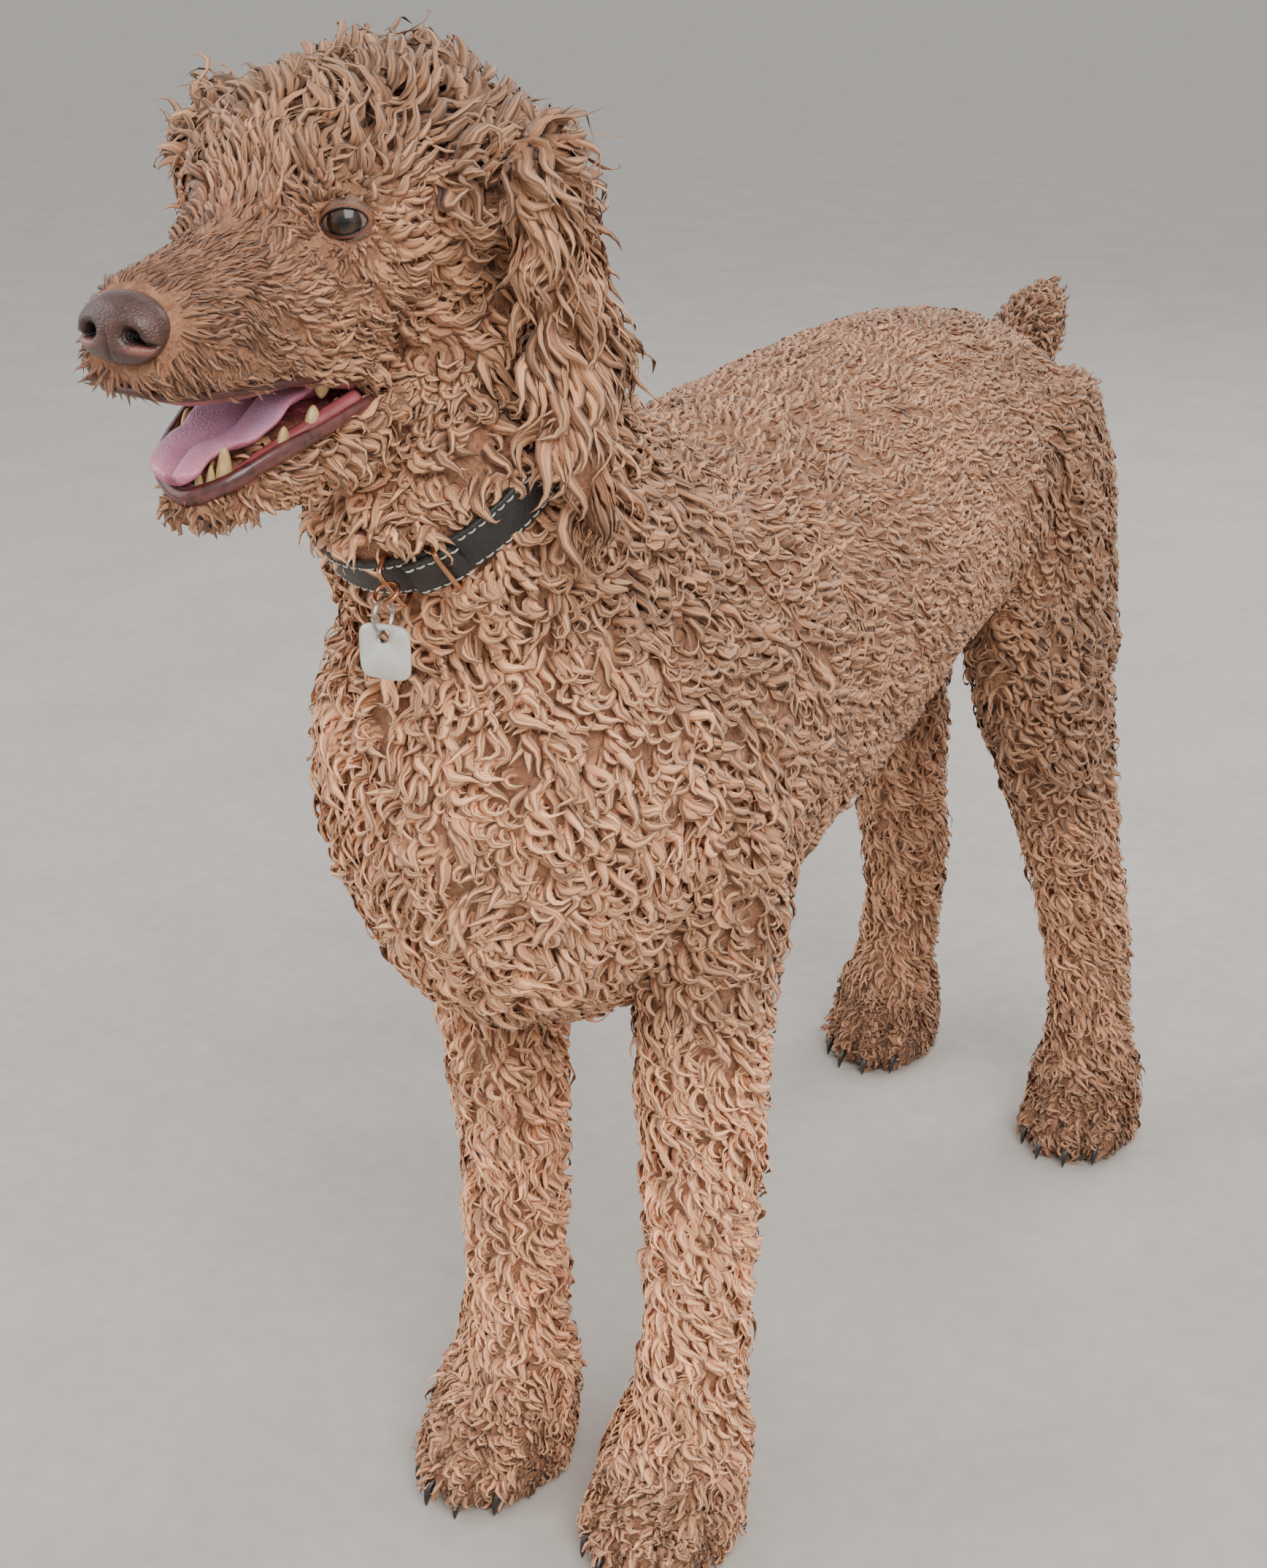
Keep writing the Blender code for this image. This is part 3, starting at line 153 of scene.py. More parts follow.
def smooth_rows(stations: Rows | Array, rows: int) -> Array:
    """Return evenly counted rows on a Catmull-Rom curve through the stations.

    Args:
        stations: One row of numbers per station.
        rows: How many rows the result has.

    Returns:
        The curve h + t/2 (s + t (b + t c)), where s, b and c come from the four nearest stations.
    """
    table = np.array(stations, float)
    last = len(table) - 1
    place = np.linspace(0.0, last, rows)
    start = np.minimum(place.astype(int), last - 1)
    part = (place - start)[:, None]
    before, here = table[np.maximum(start - 1, 0)], table[start]
    there, after = table[start + 1], table[np.minimum(start + 2, last)]
    bend = 2 * before - 5 * here + 4 * there - after
    twist = 3 * here - before - 3 * there + after
    return here + 0.5 * part * (there - before + part * (bend + part * twist))


def bell(distance: Array, width: float) -> Array:
    """Return the bell curve exp(-(distance / width) squared)."""
    return np.exp(-((distance / width) ** 2))


def ease(value: Array, start: float, end: float) -> Array:
    """Return a smooth step p p (3 - 2 p), where p runs from 0 at start to 1 at end."""
    part = np.clip((value - start) / (end - start), 0.0, 1.0)
    return part * part * (3 - 2 * part)


def squared(wave: Array, power: float) -> Array:
    """Return a cosine or sine with its size raised to a power, so that circles get corners."""
    return np.sign(wave) * np.abs(wave) ** power


def spread(*parts: Array | float) -> Array:
    """Return a grid of points from coordinates that each fill rows, sides or both."""
    return np.stack(np.broadcast_arrays(*parts), 2)


@dataclass
class Shape:
    """A surface of triangles with values at its points."""

    points: Array
    faces: Array
    values: dict[str, Array] = field(default_factory=dict)
    uvs: dict[str, Array] = field(default_factory=dict)

    def outward(self) -> "Shape":
        """Turn the faces so that the volume inside is positive, and return the shape."""
        a, b, c = (self.points[self.faces[:, corner]] for corner in range(3))
        if np.einsum("ij,ij->", a, np.cross(b, c)) < 0:
            self.faces = self.faces[:, ::-1]
        return self


def joined(shapes: list[Shape]) -> Shape:
    """Join several shapes.

    Args:
        shapes: The shapes, all with the same values.

    Returns:
        One shape with the points, faces and values of all, in their order.
    """
    starts = np.cumsum([0] + [len(shape.points) for shape in shapes[:-1]])
    return Shape(
        np.concatenate([shape.points for shape in shapes]),
        np.concatenate([shape.faces + start for shape, start in zip(shapes, starts)]),
        {key: np.concatenate([shape.values[key] for shape in shapes])
         for key in shapes[0].values},
        {key: np.concatenate([shape.uvs[key] for shape in shapes]) for key in shapes[0].uvs},
    )


def grid_faces(rows: int, sides: int) -> Array:
    """Join rings of points, each of which closes on itself.

    Args:
        rows: Rings of points along the surface.
        sides: Points in each ring.

    Returns:
        Two triangles for each cell between two rings.
    """
    row, side = (part.ravel() for part in np.mgrid[0:rows - 1, 0:sides])
    after = (side + 1) % sides
    a, b = row * sides + side, row * sides + after
    c, d = (row + 1) * sides + after, (row + 1) * sides + side
    return np.concatenate([np.stack((a, b, c), 1), np.stack((a, c, d), 1)])


def looped(grid: Array) -> Shape:
    """Return a shape from a grid whose last ring joins the first."""
    rows, sides = grid.shape[:2]
    return Shape(grid.reshape(-1, 3), grid_faces(rows + 1, sides) % (rows * sides)).outward()


def closed(grid: Array, values: dict[str, Array] | None = None) -> Shape:
    """Close a grid of rings.

    Args:
        grid: Points as rows by sides by three.
        values: Values at the same grid places.

    Returns:
        The shape, with each end drawn together at its ring's middle.
    """
    rows, sides = grid.shape[:2]
    ends = np.stack((grid[0].mean(axis=0), grid[-1].mean(axis=0)))
    first, last = rows * sides, rows * sides + 1
    side = np.arange(sides)
    after = (side + 1) % sides
    low = np.stack((after, side, np.full(sides, first)), 1)
    base = (rows - 1) * sides
    high = np.stack((base + side, base + after, np.full(sides, last)), 1)
    kept = {key: np.concatenate([part.ravel(), [part[0].mean(), part[-1].mean()]])
            for key, part in (values or {}).items()}
    faces = np.concatenate([grid_faces(rows, sides), low, high])
    return Shape(np.concatenate([grid.reshape(-1, 3), ends]), faces, kept).outward()


def ring(sides: int) -> tuple[Array, Array]:
    """Return the cosine and sine of evenly spaced angles."""
    angle = np.arange(sides) * 2 * pi / sides
    return np.cos(angle), np.sin(angle)


def egg(centre: Array, sizes: tuple, axes: Array) -> Shape:
    """Shape an egg: centre + sizes times the unit sphere.

    Args:
        centre: Its middle.
        sizes: Its half sizes.
        axes: The directions of the sizes, as rows.

    Returns:
        The closed egg.
    """
    lift = np.linspace(0.04, pi - 0.04, 14)[:, None]
    c, s = ring(20)
    local = spread(np.sin(lift) * c, np.sin(lift) * s, -np.cos(lift))
    return closed(centre + (local * np.array(sizes)) @ axes)


def tube(path: Array, up: Array, wide: Array | float, deep: Array | float, sides: int = 12,
         wrap: bool = False) -> Shape:
    """Carry an oval along a path: path + across cos(a) wide + rise sin(a) deep.

    Args:
        path: Middle points.
        up: Direction that the deep axis leans to.
        wide: Half width across the path and up, at each point.
        deep: Half depth along up, at each point.
        sides: Corners of the section.
        wrap: Whether the path closes on itself.

    Returns:
        The tube, closed at its ends unless it wraps.
    """
    if wrap:
        run = np.roll(path, -1, axis=0) - np.roll(path, 1, axis=0)
    else:
        run = np.gradient(path, axis=0)
    run = unit(run)
    across = unit(np.cross(run, np.broadcast_to(up, path.shape)))
    rise = np.cross(across, run)
    c, s = ring(sides)
    wide, deep = (np.broadcast_to(size, len(path))[:, None, None] for size in (wide, deep))
    grid = path[:, None] + across[:, None] * c[None, :, None] * wide
    grid = grid + rise[:, None] * s[None, :, None] * deep
    return looped(grid) if wrap else closed(grid)


class Slot(Enum):
    """The record's material slots."""

    COAT = "coat"
    NOSE = "nose"
    EYE = "eye"
    TONGUE = "tongue"
    CLAW = "claw"
    LEATHER = "leather"
    COPPER = "copper"
    STEEL = "steel"
    TAG = "tag"


class Finish(Protocol):
    """Anything that can lay a material."""

    def build(self) -> Material:
        """Return the material."""


def linked(name: str, data: bpy.types.ID) -> Object:
    """Return a new object of some data, linked to the scene."""
    made = bpy.data.objects.new(name, data)
    bpy.context.scene.collection.objects.link(made)
    return made


def carried(parts: bpy.types.bpy_prop_collection, key: str, width: int,
            kind: type = np.float32) -> Array:
    """Read what the parts of a mesh carry.

    Args:
        parts: Its vertices, loops or triangles, or a layer's data.
        key: The value's name.
        width: How many numbers each part carries.
        kind: Their type.

    Returns:
        One row per part.
    """
    out = np.empty(len(parts) * width, kind)
    parts.foreach_get(key, out)
    return out.reshape(-1, width)


class Maker:
    """Puts shapes into the scene as pieces that ride on the body."""

    def __init__(self) -> None:
        """Read the step from the stance to the model's frame."""
        self.shift = stance_shift()
        self.materials: dict[Finish, Material] = {}

    def mesh(self, name: str, shape: Shape) -> bpy.types.Mesh:
        """Lay a shape into a smooth mesh.

        Args:
            name: The mesh's name.
            shape: The shape in the stance.

        Returns:
            The mesh in the model's frame, with the shape's values and UV maps.
        """
        made = bpy.data.meshes.new(name)
        faces = np.ascontiguousarray(shape.faces, np.int32)
        made.vertices.add(len(shape.points))
        points = np.asarray(shape.points + self.shift, np.float32)
        made.vertices.foreach_set("co", points.ravel())
        made.loops.add(faces.size)
        made.loops.foreach_set("vertex_index", faces.ravel())
        made.polygons.add(len(faces))
        made.polygons.foreach_set("loop_start", np.arange(len(faces), dtype=np.int32) * 3)
        made.polygons.foreach_set("use_smooth", np.ones(len(faces), bool))
        made.update(calc_edges=True)
        for key, value in shape.values.items():
            layer = made.attributes.new(key, "FLOAT", "POINT")
            layer.data.foreach_set("value", np.asarray(value, np.float32).ravel())
        for key, uv in shape.uvs.items():
            layer = made.uv_layers.new(name=key)
            layer.data.foreach_set("uv", np.asarray(uv, np.float32)[faces.ravel()].ravel())
        return made

    def piece(self, name: str, shape: Shape, finish: Finish, slot: Slot, *nodes: str) -> None:
        """Make a piece that rides on the body.

        Args:
            name: The piece's name.
            shape: Its surface in the stance.
            finish: Its finish.
            slot: The record's slot that it is finished as.
            nodes: The CAD nodes that it stands for.
        """
        self.dress(linked(name, self.mesh(name, shape)), finish, slot, *nodes)

    def dress(self, made: Object, finish: Finish, slot: Slot, *nodes: str) -> None:
        """Give an object its material and body, and hide what it stands for.

        Args:
            made: The object.
            finish: Its finish, whose material is laid at its first use.
            slot: Not used.
            nodes: The CAD nodes that it stands for.
        """
        if finish not in self.materials:
            self.materials[finish] = finish.build()
        made.data.materials.append(self.materials[finish])
        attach(made, "root")
        if nodes:
            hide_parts(*nodes)
        LOG.info("%s: %d triangles", made.name, len(made.data.polygons))


def shade(red: int, green: int, blue: int) -> tuple[float, float, float, float]:
    """Return a display colour (0 to 255) as the linear colour that shaders take."""
    part = np.array((red, green, blue)) / 255
    linear = np.where(part <= 0.04045, part / 12.92, ((part + 0.055) / 1.055) ** 2.4)
    return (*(float(x) for x in linear), 1.0)


class Graph:
    """A material whose nodes are laid by short calls."""

    def __init__(self, name: str) -> None:
        """Start a material with its main shader."""
        self.material = bpy.data.materials.new(name)
        self.material.use_nodes = True
        self.tree = self.material.node_tree
        self.shader = self.tree.nodes["Principled BSDF"]

    def put(self, socket: Socket, value: object) -> None:
        """Link a socket to another, or set its value."""
        if isinstance(value, Socket):
            self.tree.links.new(value, socket)
        else:
            socket.default_value = value

    def fill(self, node: bpy.types.Node, sockets: dict) -> bpy.types.Node:
        """Set a node's sockets.

        Args:
            node: The node.
            sockets: Values or sockets by number, or by name with an underscore for a space.

        Returns:
            The node.
        """
        for key, value in sockets.items():
            self.put(node.inputs[key.replace("_", " ") if isinstance(key, str) else key], value)
        return node

    def node(self, kind: str, **sockets: object) -> bpy.types.Node:
        """Return a new node with its sockets set."""
        return self.fill(self.tree.nodes.new(f"ShaderNode{kind}"), sockets)

    def surface(self, **sockets: object) -> None:
        """Set the main shader's sockets."""
        self.fill(self.shader, sockets)

    def read(self, name: str) -> Socket:
        """Return a value that the mesh carries at its points."""
        made = self.node("Attribute")
        made.attribute_name = name
        return made.outputs["Fac"]

    def place(self, scale: tuple[float, float, float] = (1, 1, 1), uv: str = "") -> Socket:
        """Lay coordinates.

        Args:
            scale: What they are multiplied by.
            uv: The UV map's name, or nothing for the object's own coordinates.

        Returns:
            The scaled coordinates.
        """
        if uv:
            source = self.node("UVMap")
            source.uv_map = uv
            out = source.outputs["UV"]
        else:
            out = self.node("TexCoord").outputs["Object"]
        return self.node("Mapping", Scale=scale, Vector=out).outputs["Vector"]

    def noise(self, place: Socket, scale: float, detail: float = 2.0, warp: float = 0.0) -> Socket:
        """Return soft noise of a given fineness."""
        return self.node("TexNoise", Vector=place, Scale=scale, Detail=detail,
                         Distortion=warp).outputs["Fac"]

    def cells(self, place: Socket, scale: float) -> Socket:
        """Return the distance to the nearest of scattered points."""
        return self.node("TexVoronoi", Vector=place, Scale=scale).outputs["Distance"]

    def ramp(self, value: Socket, stops: tuple) -> Socket:
        """Lay a run of colours.

        Args:
            value: What is read along it.
            stops: Pairs of a place and the colour there.

        Returns:
            The colour at the value.
        """
        made = self.node("ValToRGB", Fac=value)
        line = made.color_ramp.elements
        for index, (spot, colour) in enumerate(stops):
            step = line[index] if index < 2 else line.new(spot)
            step.position = spot
            step.color = colour
        return made.outputs["Color"]

    def mix(self, share: object, first: object, second: object) -> Socket:
        """Return two colours mixed by a share."""
        made = self.node("Mix")
        made.data_type = "RGBA"
        return self.fill(made, {0: share, 6: first, 7: second}).outputs[2]

    def sum(self, how: str, first: object, second: object) -> Socket:
        """Return one step of arithmetic on two values."""
        made = self.node("Math")
        made.operation = how
        return self.fill(made, {0: first, 1: second}).outputs[0]

    def span(self, value: object, low: float, high: float, new_low: float = 0.0,
             new_high: float = 1.0) -> Socket:
        """Return a value moved from one span to another, and held at its ends."""
        parts = enumerate((value, low, high, new_low, new_high))
        return self.fill(self.node("MapRange"), dict(parts)).outputs[0]

    def bump(self, height: Socket, depth: float, strength: float = 1.0) -> None:
        """Raise the surface's shading by a height times a depth in metres."""
        made = self.node("Bump", Distance=depth, Strength=strength, Height=height)
        self.surface(Normal=made.outputs["Normal"])


@dataclass(frozen=True)
class CoatFinish:
    """Curled apricot hair: painted shade at the roots, tips paler partly by painted light, redder
    by the red value.
    """

    # root is painted shade where locks cover each other; tip is partly the hair's own paler tone
    # and partly painted light.
    root: tuple = shade(176, 122, 90)
    body: tuple = shade(216, 156, 115)
    tip: tuple = shade(242, 186, 142)
    red: tuple = shade(150, 86, 58)
    roughness: float = 0.62
    stripe: float = 0.72

    def build(self) -> Material:
        """Return the material of the locks."""
        g = Graph("coat_locks")
        # Along each lock: painted shade at the root, its own colour in the body, and a paler tip
        # that is partly painted light.
        colour = g.ramp(g.read("Along"), ((0.0, self.root), (0.35, self.body), (1.0, self.tip)))
        colour = g.mix(g.read("Red"), colour, self.red)
        place = g.place()
        broad = g.span(g.noise(place, 14.0), 0.3, 0.7, 0.90, 1.08)
        thin = g.noise(g.place((1.7, 0.18, 1.0), "Strand"), 1.0, 3.0)
        fine = g.span(thin, 0.36, 0.64, 1.0 - self.stripe, 1.0 + self.stripe * 0.5)
        value = g.sum("MULTIPLY", g.sum("MULTIPLY", broad, fine), g.read("Tone"))
        tone = g.node("HueSaturation", Value=value, Color=colour)
        g.surface(Base_Color=tone.outputs["Color"], Roughness=self.roughness,
                  Specular_IOR_Level=0.30, Sheen_Weight=0.15, Sheen_Roughness=0.5)
        g.bump(thin, 0.0016, 0.9)
        return g.material


@dataclass(frozen=True)
class SkinFinish:
    """Skin under the coat: brown hair streaked with painted shade of hollows, and wet flesh where
    the mouth value says.
    """

    # under is painted shade: the dark brown of the hollows between locks.
    under: tuple = shade(140, 96, 70)
    hair: tuple = shade(178, 126, 93)
    flesh: tuple = shade(150, 72, 74)
    deep: tuple = shade(70, 22, 24)

    def build(self) -> Material:
        """Return the material of the skin."""
        g = Graph("skin_under_coat")
        place = g.place()
        grain = g.noise(place, 300.0, 4.0, 1.4)
        tufts = g.noise(place, 95.0, 2.0, 1.0)
        # Noise streaks the close hair with the painted shade of the hollows between locks.
        hair = g.mix(g.span(g.sum("ADD", grain, tufts), 0.80, 1.20), self.under, self.hair)
        inside = g.mix(g.span(g.noise(place, 90.0), 0.3, 0.7), self.deep, self.flesh)
        wet = g.read("Mouth")
        g.surface(Base_Color=g.mix(wet, hair, inside), Roughness=g.span(wet, 0.0, 1.0, 0.85, 0.3))
        g.bump(g.sum("ADD", grain, tufts), 0.0022, 0.9)
        return g.material


@dataclass(frozen=True)
class PlainFinish:
    """One stuff with a grain: two display colours by noise, one roughness and a fine bump."""

    name: str
    first: tuple[int, int, int]
    second: tuple[int, int, int]
    roughness: float = 0.5
    fineness: float = 300.0
    depth: float = 0.0003
    metal: float = 0.0
    gloss: float = 0.0
    soft: float = 0.0

    def build(self) -> Material:
        """Return the material."""
        g = Graph(self.name)
        place = g.place()
        grain = g.noise(place, self.fineness, 4.0)
        broad = g.noise(place, self.fineness * 0.12, 2.0)
        colour = g.mix(g.span(g.sum("ADD", grain, broad), 0.7, 1.3), shade(*self.first),
                       shade(*self.second))
        g.surface(Base_Color=colour, Metallic=self.metal,
                  Roughness=g.span(grain, 0.3, 0.7, self.roughness * 0.85, self.roughness * 1.15),
                  Coat_Weight=self.gloss, Coat_Roughness=0.08, Subsurface_Weight=self.soft,
                  Subsurface_Scale=0.004)
        g.bump(grain, self.depth)
        return g.material


@dataclass(frozen=True)
class Body:
    """The body's tables, and the lofts made from them."""

    torso: Rows = mm(
        (-316, 498, 420, 30), (-300, 545, 368, 66), (-262, 585, 322, 96), (-190, 604, 298, 114),
        (-90, 606, 306, 119), (20, 614, 334, 117), (120, 621, 366, 108), (205, 617, 388, 102),
        (275, 600, 404, 93), (320, 566, 430, 66), (342, 536, 462, 28),
    )
    keel: float = 0.22
    neck: Rows = mm(
        (-130, 490, 98, 110), (-190, 535, 92, 106), (-240, 580, 80, 92), (-275, 625, 70, 78),
        (-266, 668, 66, 86), (-264, 712, 58, 76),
    )
    neck_lean: float = radians(36)
    skull: Rows = mm(
        (-138, -6, 26, 32), (-118, 0, 58, 62), (-82, 1, 73, 72), (-44, 0, 71, 70),
        (-12, -6, 57, 59), (8, -16, 42, 44), (30, -31, 35, 32), (60, -36, 32, 27),
        (84, -40, 28, 23), (95, -43, 21, 17),
    )
    jaw: Rows = mm(
        (-70, -70, 44, 34), (-30, -77, 44, 32), (4, -88.5, 36, 22.5), (36, -99.5, 28, 15),
        (53, -108, 20, 10), (62, -110.5, 11, 6),
    )
    front_leg: Rows = mm(
        (470, 70, -150, 46, 80), (400, 72, -166, 45, 54), (330, 72, -174, 42, 43),
        (260, 71, -174, 38, 38), (180, 70, -172, 34, 35), (110, 68, -174, 33, 34),
        (70, 67, -180, 36, 38), (36, 66, -196, 40, 48), (14, 66, -202, 41, 50),
        (1, 66, -203, 36, 45),
    )
    hind_leg: Rows = mm(
        (560, 50, 246, 48, 70), (500, 56, 252, 52, 84), (430, 63, 256, 51, 80),
        (360, 72, 260, 46, 66), (300, 79, 275, 41, 52), (235, 84, 300, 37, 42),
        (170, 89, 326, 35, 38), (120, 93, 334, 34, 36), (68, 97, 332, 35, 36),
        (34, 99, 325, 39, 45), (14, 99, 321, 40, 49), (1, 99, 320, 35, 44),
    )
    tail: Rows = mm((4, 318, 545), (2, 404, 594))
    tail_radius: float = 0.028
    ear: Rows = mm(
        (-4, -42, 20, 8), (28, -53, 29, 10), (62, -66, 34, 11), (88, -79, 40, 11),
        (114, -76, 35, 10), (136, -70, 26, 9), (158, -68, 11, 6),
    )
    ear_top: float = 0.030
    ear_cup: float = 0.010
    ear_root: tuple = (0.056, -0.048, 0.012)
    ear_base: tuple = (0.019, 0.022, 0.018)
    toe: tuple = (0.0098, 0.0186, 0.0164)
    toe_height: float = 0.0145
    # A roll of flesh behind the upper lip: inward, raised, half width and half depth.
    lip_roll: tuple = (0.0036, 0.0060, 0.0044, 0.0060)
    # How deep the coat stands on the skin.
    trunk_coat: float = 0.0108
    skull_coat: float = 0.0022
    crown_coat: float = 0.0165
    jaw_coat: float = 0.0030
    tail_coat: float = 0.0095
    leg_coat: float = 0.0092
    rows: int = 60
    sides: int = 48

    def torso_loft(self, depth: float) -> Array:
        """Loft egg-shaped sections across the body, narrower below.

        Args:
            depth: How far they are sunk below the tables' surface.

        Returns:
            The rings of points.
        """
        y, top, bottom, half = smooth_rows(self.torso, self.rows).T
        c, s = ring(self.sides)
        tall = np.maximum((top - bottom) / 2 - depth, 0.008)[:, None]
        wide = np.maximum(half - depth, 0.008)[:, None]
        keel = 1 - self.keel * np.clip(-s, 0, 1) ** 1.5
        return spread(wide * c * keel, y[:, None], ((top + bottom) / 2)[:, None] + tall * s)

    def neck_loft(self, depth: float) -> Array:
        """Loft ovals that lean back as the neck rises.

        Args:
            depth: How far they are sunk.

        Returns:
            The rings of points.
        """
        y, z, half, deep = (part[:, None] for part in smooth_rows(self.neck, self.rows).T)
        c, s = ring(self.sides)
        tall = (deep - depth) * s
        return spread((half - depth) * c, y + tall * cos(self.neck_lean),
                      z + tall * sin(self.neck_lean))

    def sleeve(self) -> Array:
        """Return rings that fill the neck out to the strap's underside."""
        along = np.linspace(-1, 1, 9)[:, None]
        turn = 2 * pi * np.arange(self.sides) / self.sides
        return Collar().spot(turn, -0.0010 - 0.0040 * along ** 4, along * 0.015)

    def head_loft(self, stations: Rows, depth: float, crown: float = 0.0) -> Array:
        """Loft ovals across the head, square below the muzzle.

        Args:
            stations: Forward place, height, half width and half height of each oval.
            depth: How far they are sunk.
            crown: How much further they are sunk below the crown's long coat.

        Returns:
            The rings of points.
        """
        y, z, half, high = (part[:, None] for part in smooth_rows(stations, self.rows).T)
        c, s = ring(self.sides)
        behind = ease(-y, -0.006, 0.028)
        sunk = depth + crown * behind * (0.35 + 0.65 * np.clip(s, 0, 1))
        square = 1 - 0.72 * ease(y, -0.02, 0.02) * ease(-s, 0.0, 0.4)
        wide, tall = np.maximum(half - sunk, 0.006), np.maximum(high - sunk, 0.006)
        return on_head(spread(wide * squared(c, square), y, z + tall * s))

    def leg_loft(self, pair: str, side: int, depth: float) -> Array:
        """Loft level ovals from the body to the sole.

        Args:
            pair: Front or hind.
            side: 1 for the left leg, -1 for the right.
            depth: How far the ovals are sunk, which fades at the paw.

        Returns:
            The rings of points.
        """
        stations = self.front_leg if pair == "front" else self.hind_leg
        z, x, y, half, deep = (part[:, None] for part in smooth_rows(stations, self.rows).T)
        c, s = ring(self.sides)
        stance = np.clip((0.52 - z) / 0.22, 0, 1)
        shift = LEG_SHIFTS[pair, side]
        sunk = depth * np.clip((z - 0.052) / 0.052 + 0.4, 0.4, 1)
        return spread(side * x + (half - sunk) * c + shift[0] * stance,
                      y + (deep - sunk) * s + shift[1] * stance, z)

    def tail_loft(self, depth: float) -> Array:
        """Loft a round-ended stub: radius r (1 - 0.75 t to the fifth) along a straight axis.

        Args:
            depth: How far it is sunk.

        Returns:
            The rings of points.
        """
        root, tip = (np.array(end) for end in self.tail)
        t = np.linspace(0, 1, self.rows)[:, None]
        size = np.maximum(self.tail_radius * (1 - 0.75 * t ** 5) - depth, 0.006)[..., None]
        side = np.array((1.0, 0, 0))
        rise = unit(np.cross(tip - root, side))
        c, s = ring(self.sides)
        spoke = c[:, None] * side + s[:, None] * rise
        return (root + (tip - root) * t)[:, None] + spoke * size

    def ear_frame(self, side: int) -> tuple[Array, Array]:
        """Return one ear's axes (forward, up, out) as rows, and the top of its inner face."""
        plane, lean, back = EAR_HANG[side]
        out = HEAD[0] * side * cos(lean) + HEAD[2] * sin(lean)
        up = HEAD[2] * cos(lean) - HEAD[0] * side * sin(lean)
        return np.array((HEAD[1], up, out)), on_head((side * plane, -back, self.ear_top))

    def ear_loft(self, side: int) -> Array:
        """Loft the hanging leaf of an ear, hollow on the side that faces the head.

        Args:
            side: 1 for the left ear, -1 for the right.

        Returns:
            The rings of points.
        """
        fall, forward, half, thick = (part[:, None] for part in smooth_rows(self.ear, 40).T)
        c, s = ring(28)
        half = half - 0.008
        thick = thick * 0.45
        middle = 0.0045 + self.ear_cup * (1 - c ** 2) * 0.8
        axes, origin = self.ear_frame(side)
        return origin + spread(forward + half * c, -fall * 0.93, middle + thick * (1 + s)) @ axes

    def shells(self) -> list[Shape]:
        """Return every closed shell of the skin, each sunk by its coat's depth."""
        made = [closed(grid) for grid in (
            self.torso_loft(self.trunk_coat), self.neck_loft(self.trunk_coat),
            self.head_loft(self.skull, self.skull_coat, self.crown_coat),
            self.head_loft(self.jaw, self.jaw_coat), self.tail_loft(self.tail_coat))]
        for pair, side in LEG_SHIFTS:
            made.append(closed(self.leg_loft(pair, side, self.leg_coat)))
            x, y = paw_middle(pair, side)
            made += [egg(np.array((x + across, y - ahead, self.toe_height)), self.toe, np.eye(3))
                     for across, ahead in TOES]
        made.append(closed(self.sleeve()))
        inward, rise, wide, deep = self.lip_roll
        made.append(tube(Mouth.line(UPPER_LIP, inward, rise), HEAD[2], wide, deep))
        for side in SIDE_NAMES:
            made.append(closed(self.ear_loft(side)))
            spot = on_head((side * self.ear_root[0], *self.ear_root[1:]))
            made.append(egg(spot, self.ear_base, HEAD))
        return made


def mouth_share(local: Array) -> Array:
    """Tell what lies between the lips.

    Args:
        local: Points in the head frame.

    Returns:
        1 between the lips and 0 outside them, with a soft edge.
    """
    upper, lower = np.array(UPPER_LIP), np.array(LOWER_LIP)
    ahead = local[:, 1]
    top = np.interp(ahead, upper[:, 1], upper[:, 2])
    bottom = np.interp(ahead, lower[:, 1], lower[:, 2])
    inside = ease(top + 0.0015 - local[:, 2], 0.0, 0.003)
    inside = inside * ease(local[:, 2] - bottom + 0.0015, 0.0, 0.003)
    inside = inside * ease(ahead, -0.016, -0.010) * ease(0.102 - ahead, 0.0, 0.004)
    return inside * (np.abs(local[:, 0]) < 0.05)


def eye_frame(side: int) -> tuple[Array, Array]:
    """Find how an eye stands in the head.

    Args:
        side: 1 for the left eye, -1 for the right.

    Returns:
        Its axes (across, rise, gaze) as rows, and its middle.
    """
    gaze = unit(HEAD[1] + HEAD[0] * side * EYE_TURN)
    across = unit(np.cross(gaze, HEAD[2]))
    centre = on_head((side * EYE_PLACE[0], *EYE_PLACE[1:]))
    return np.array((across, np.cross(across, gaze), gaze)), centre


def seen_by_eye(points: Array, side: int) -> tuple[Array, Array]:
    """Return points in an eye's frame, and the frame's axes."""
    axes, centre = eye_frame(side)
    return (points - centre) @ axes.T, axes


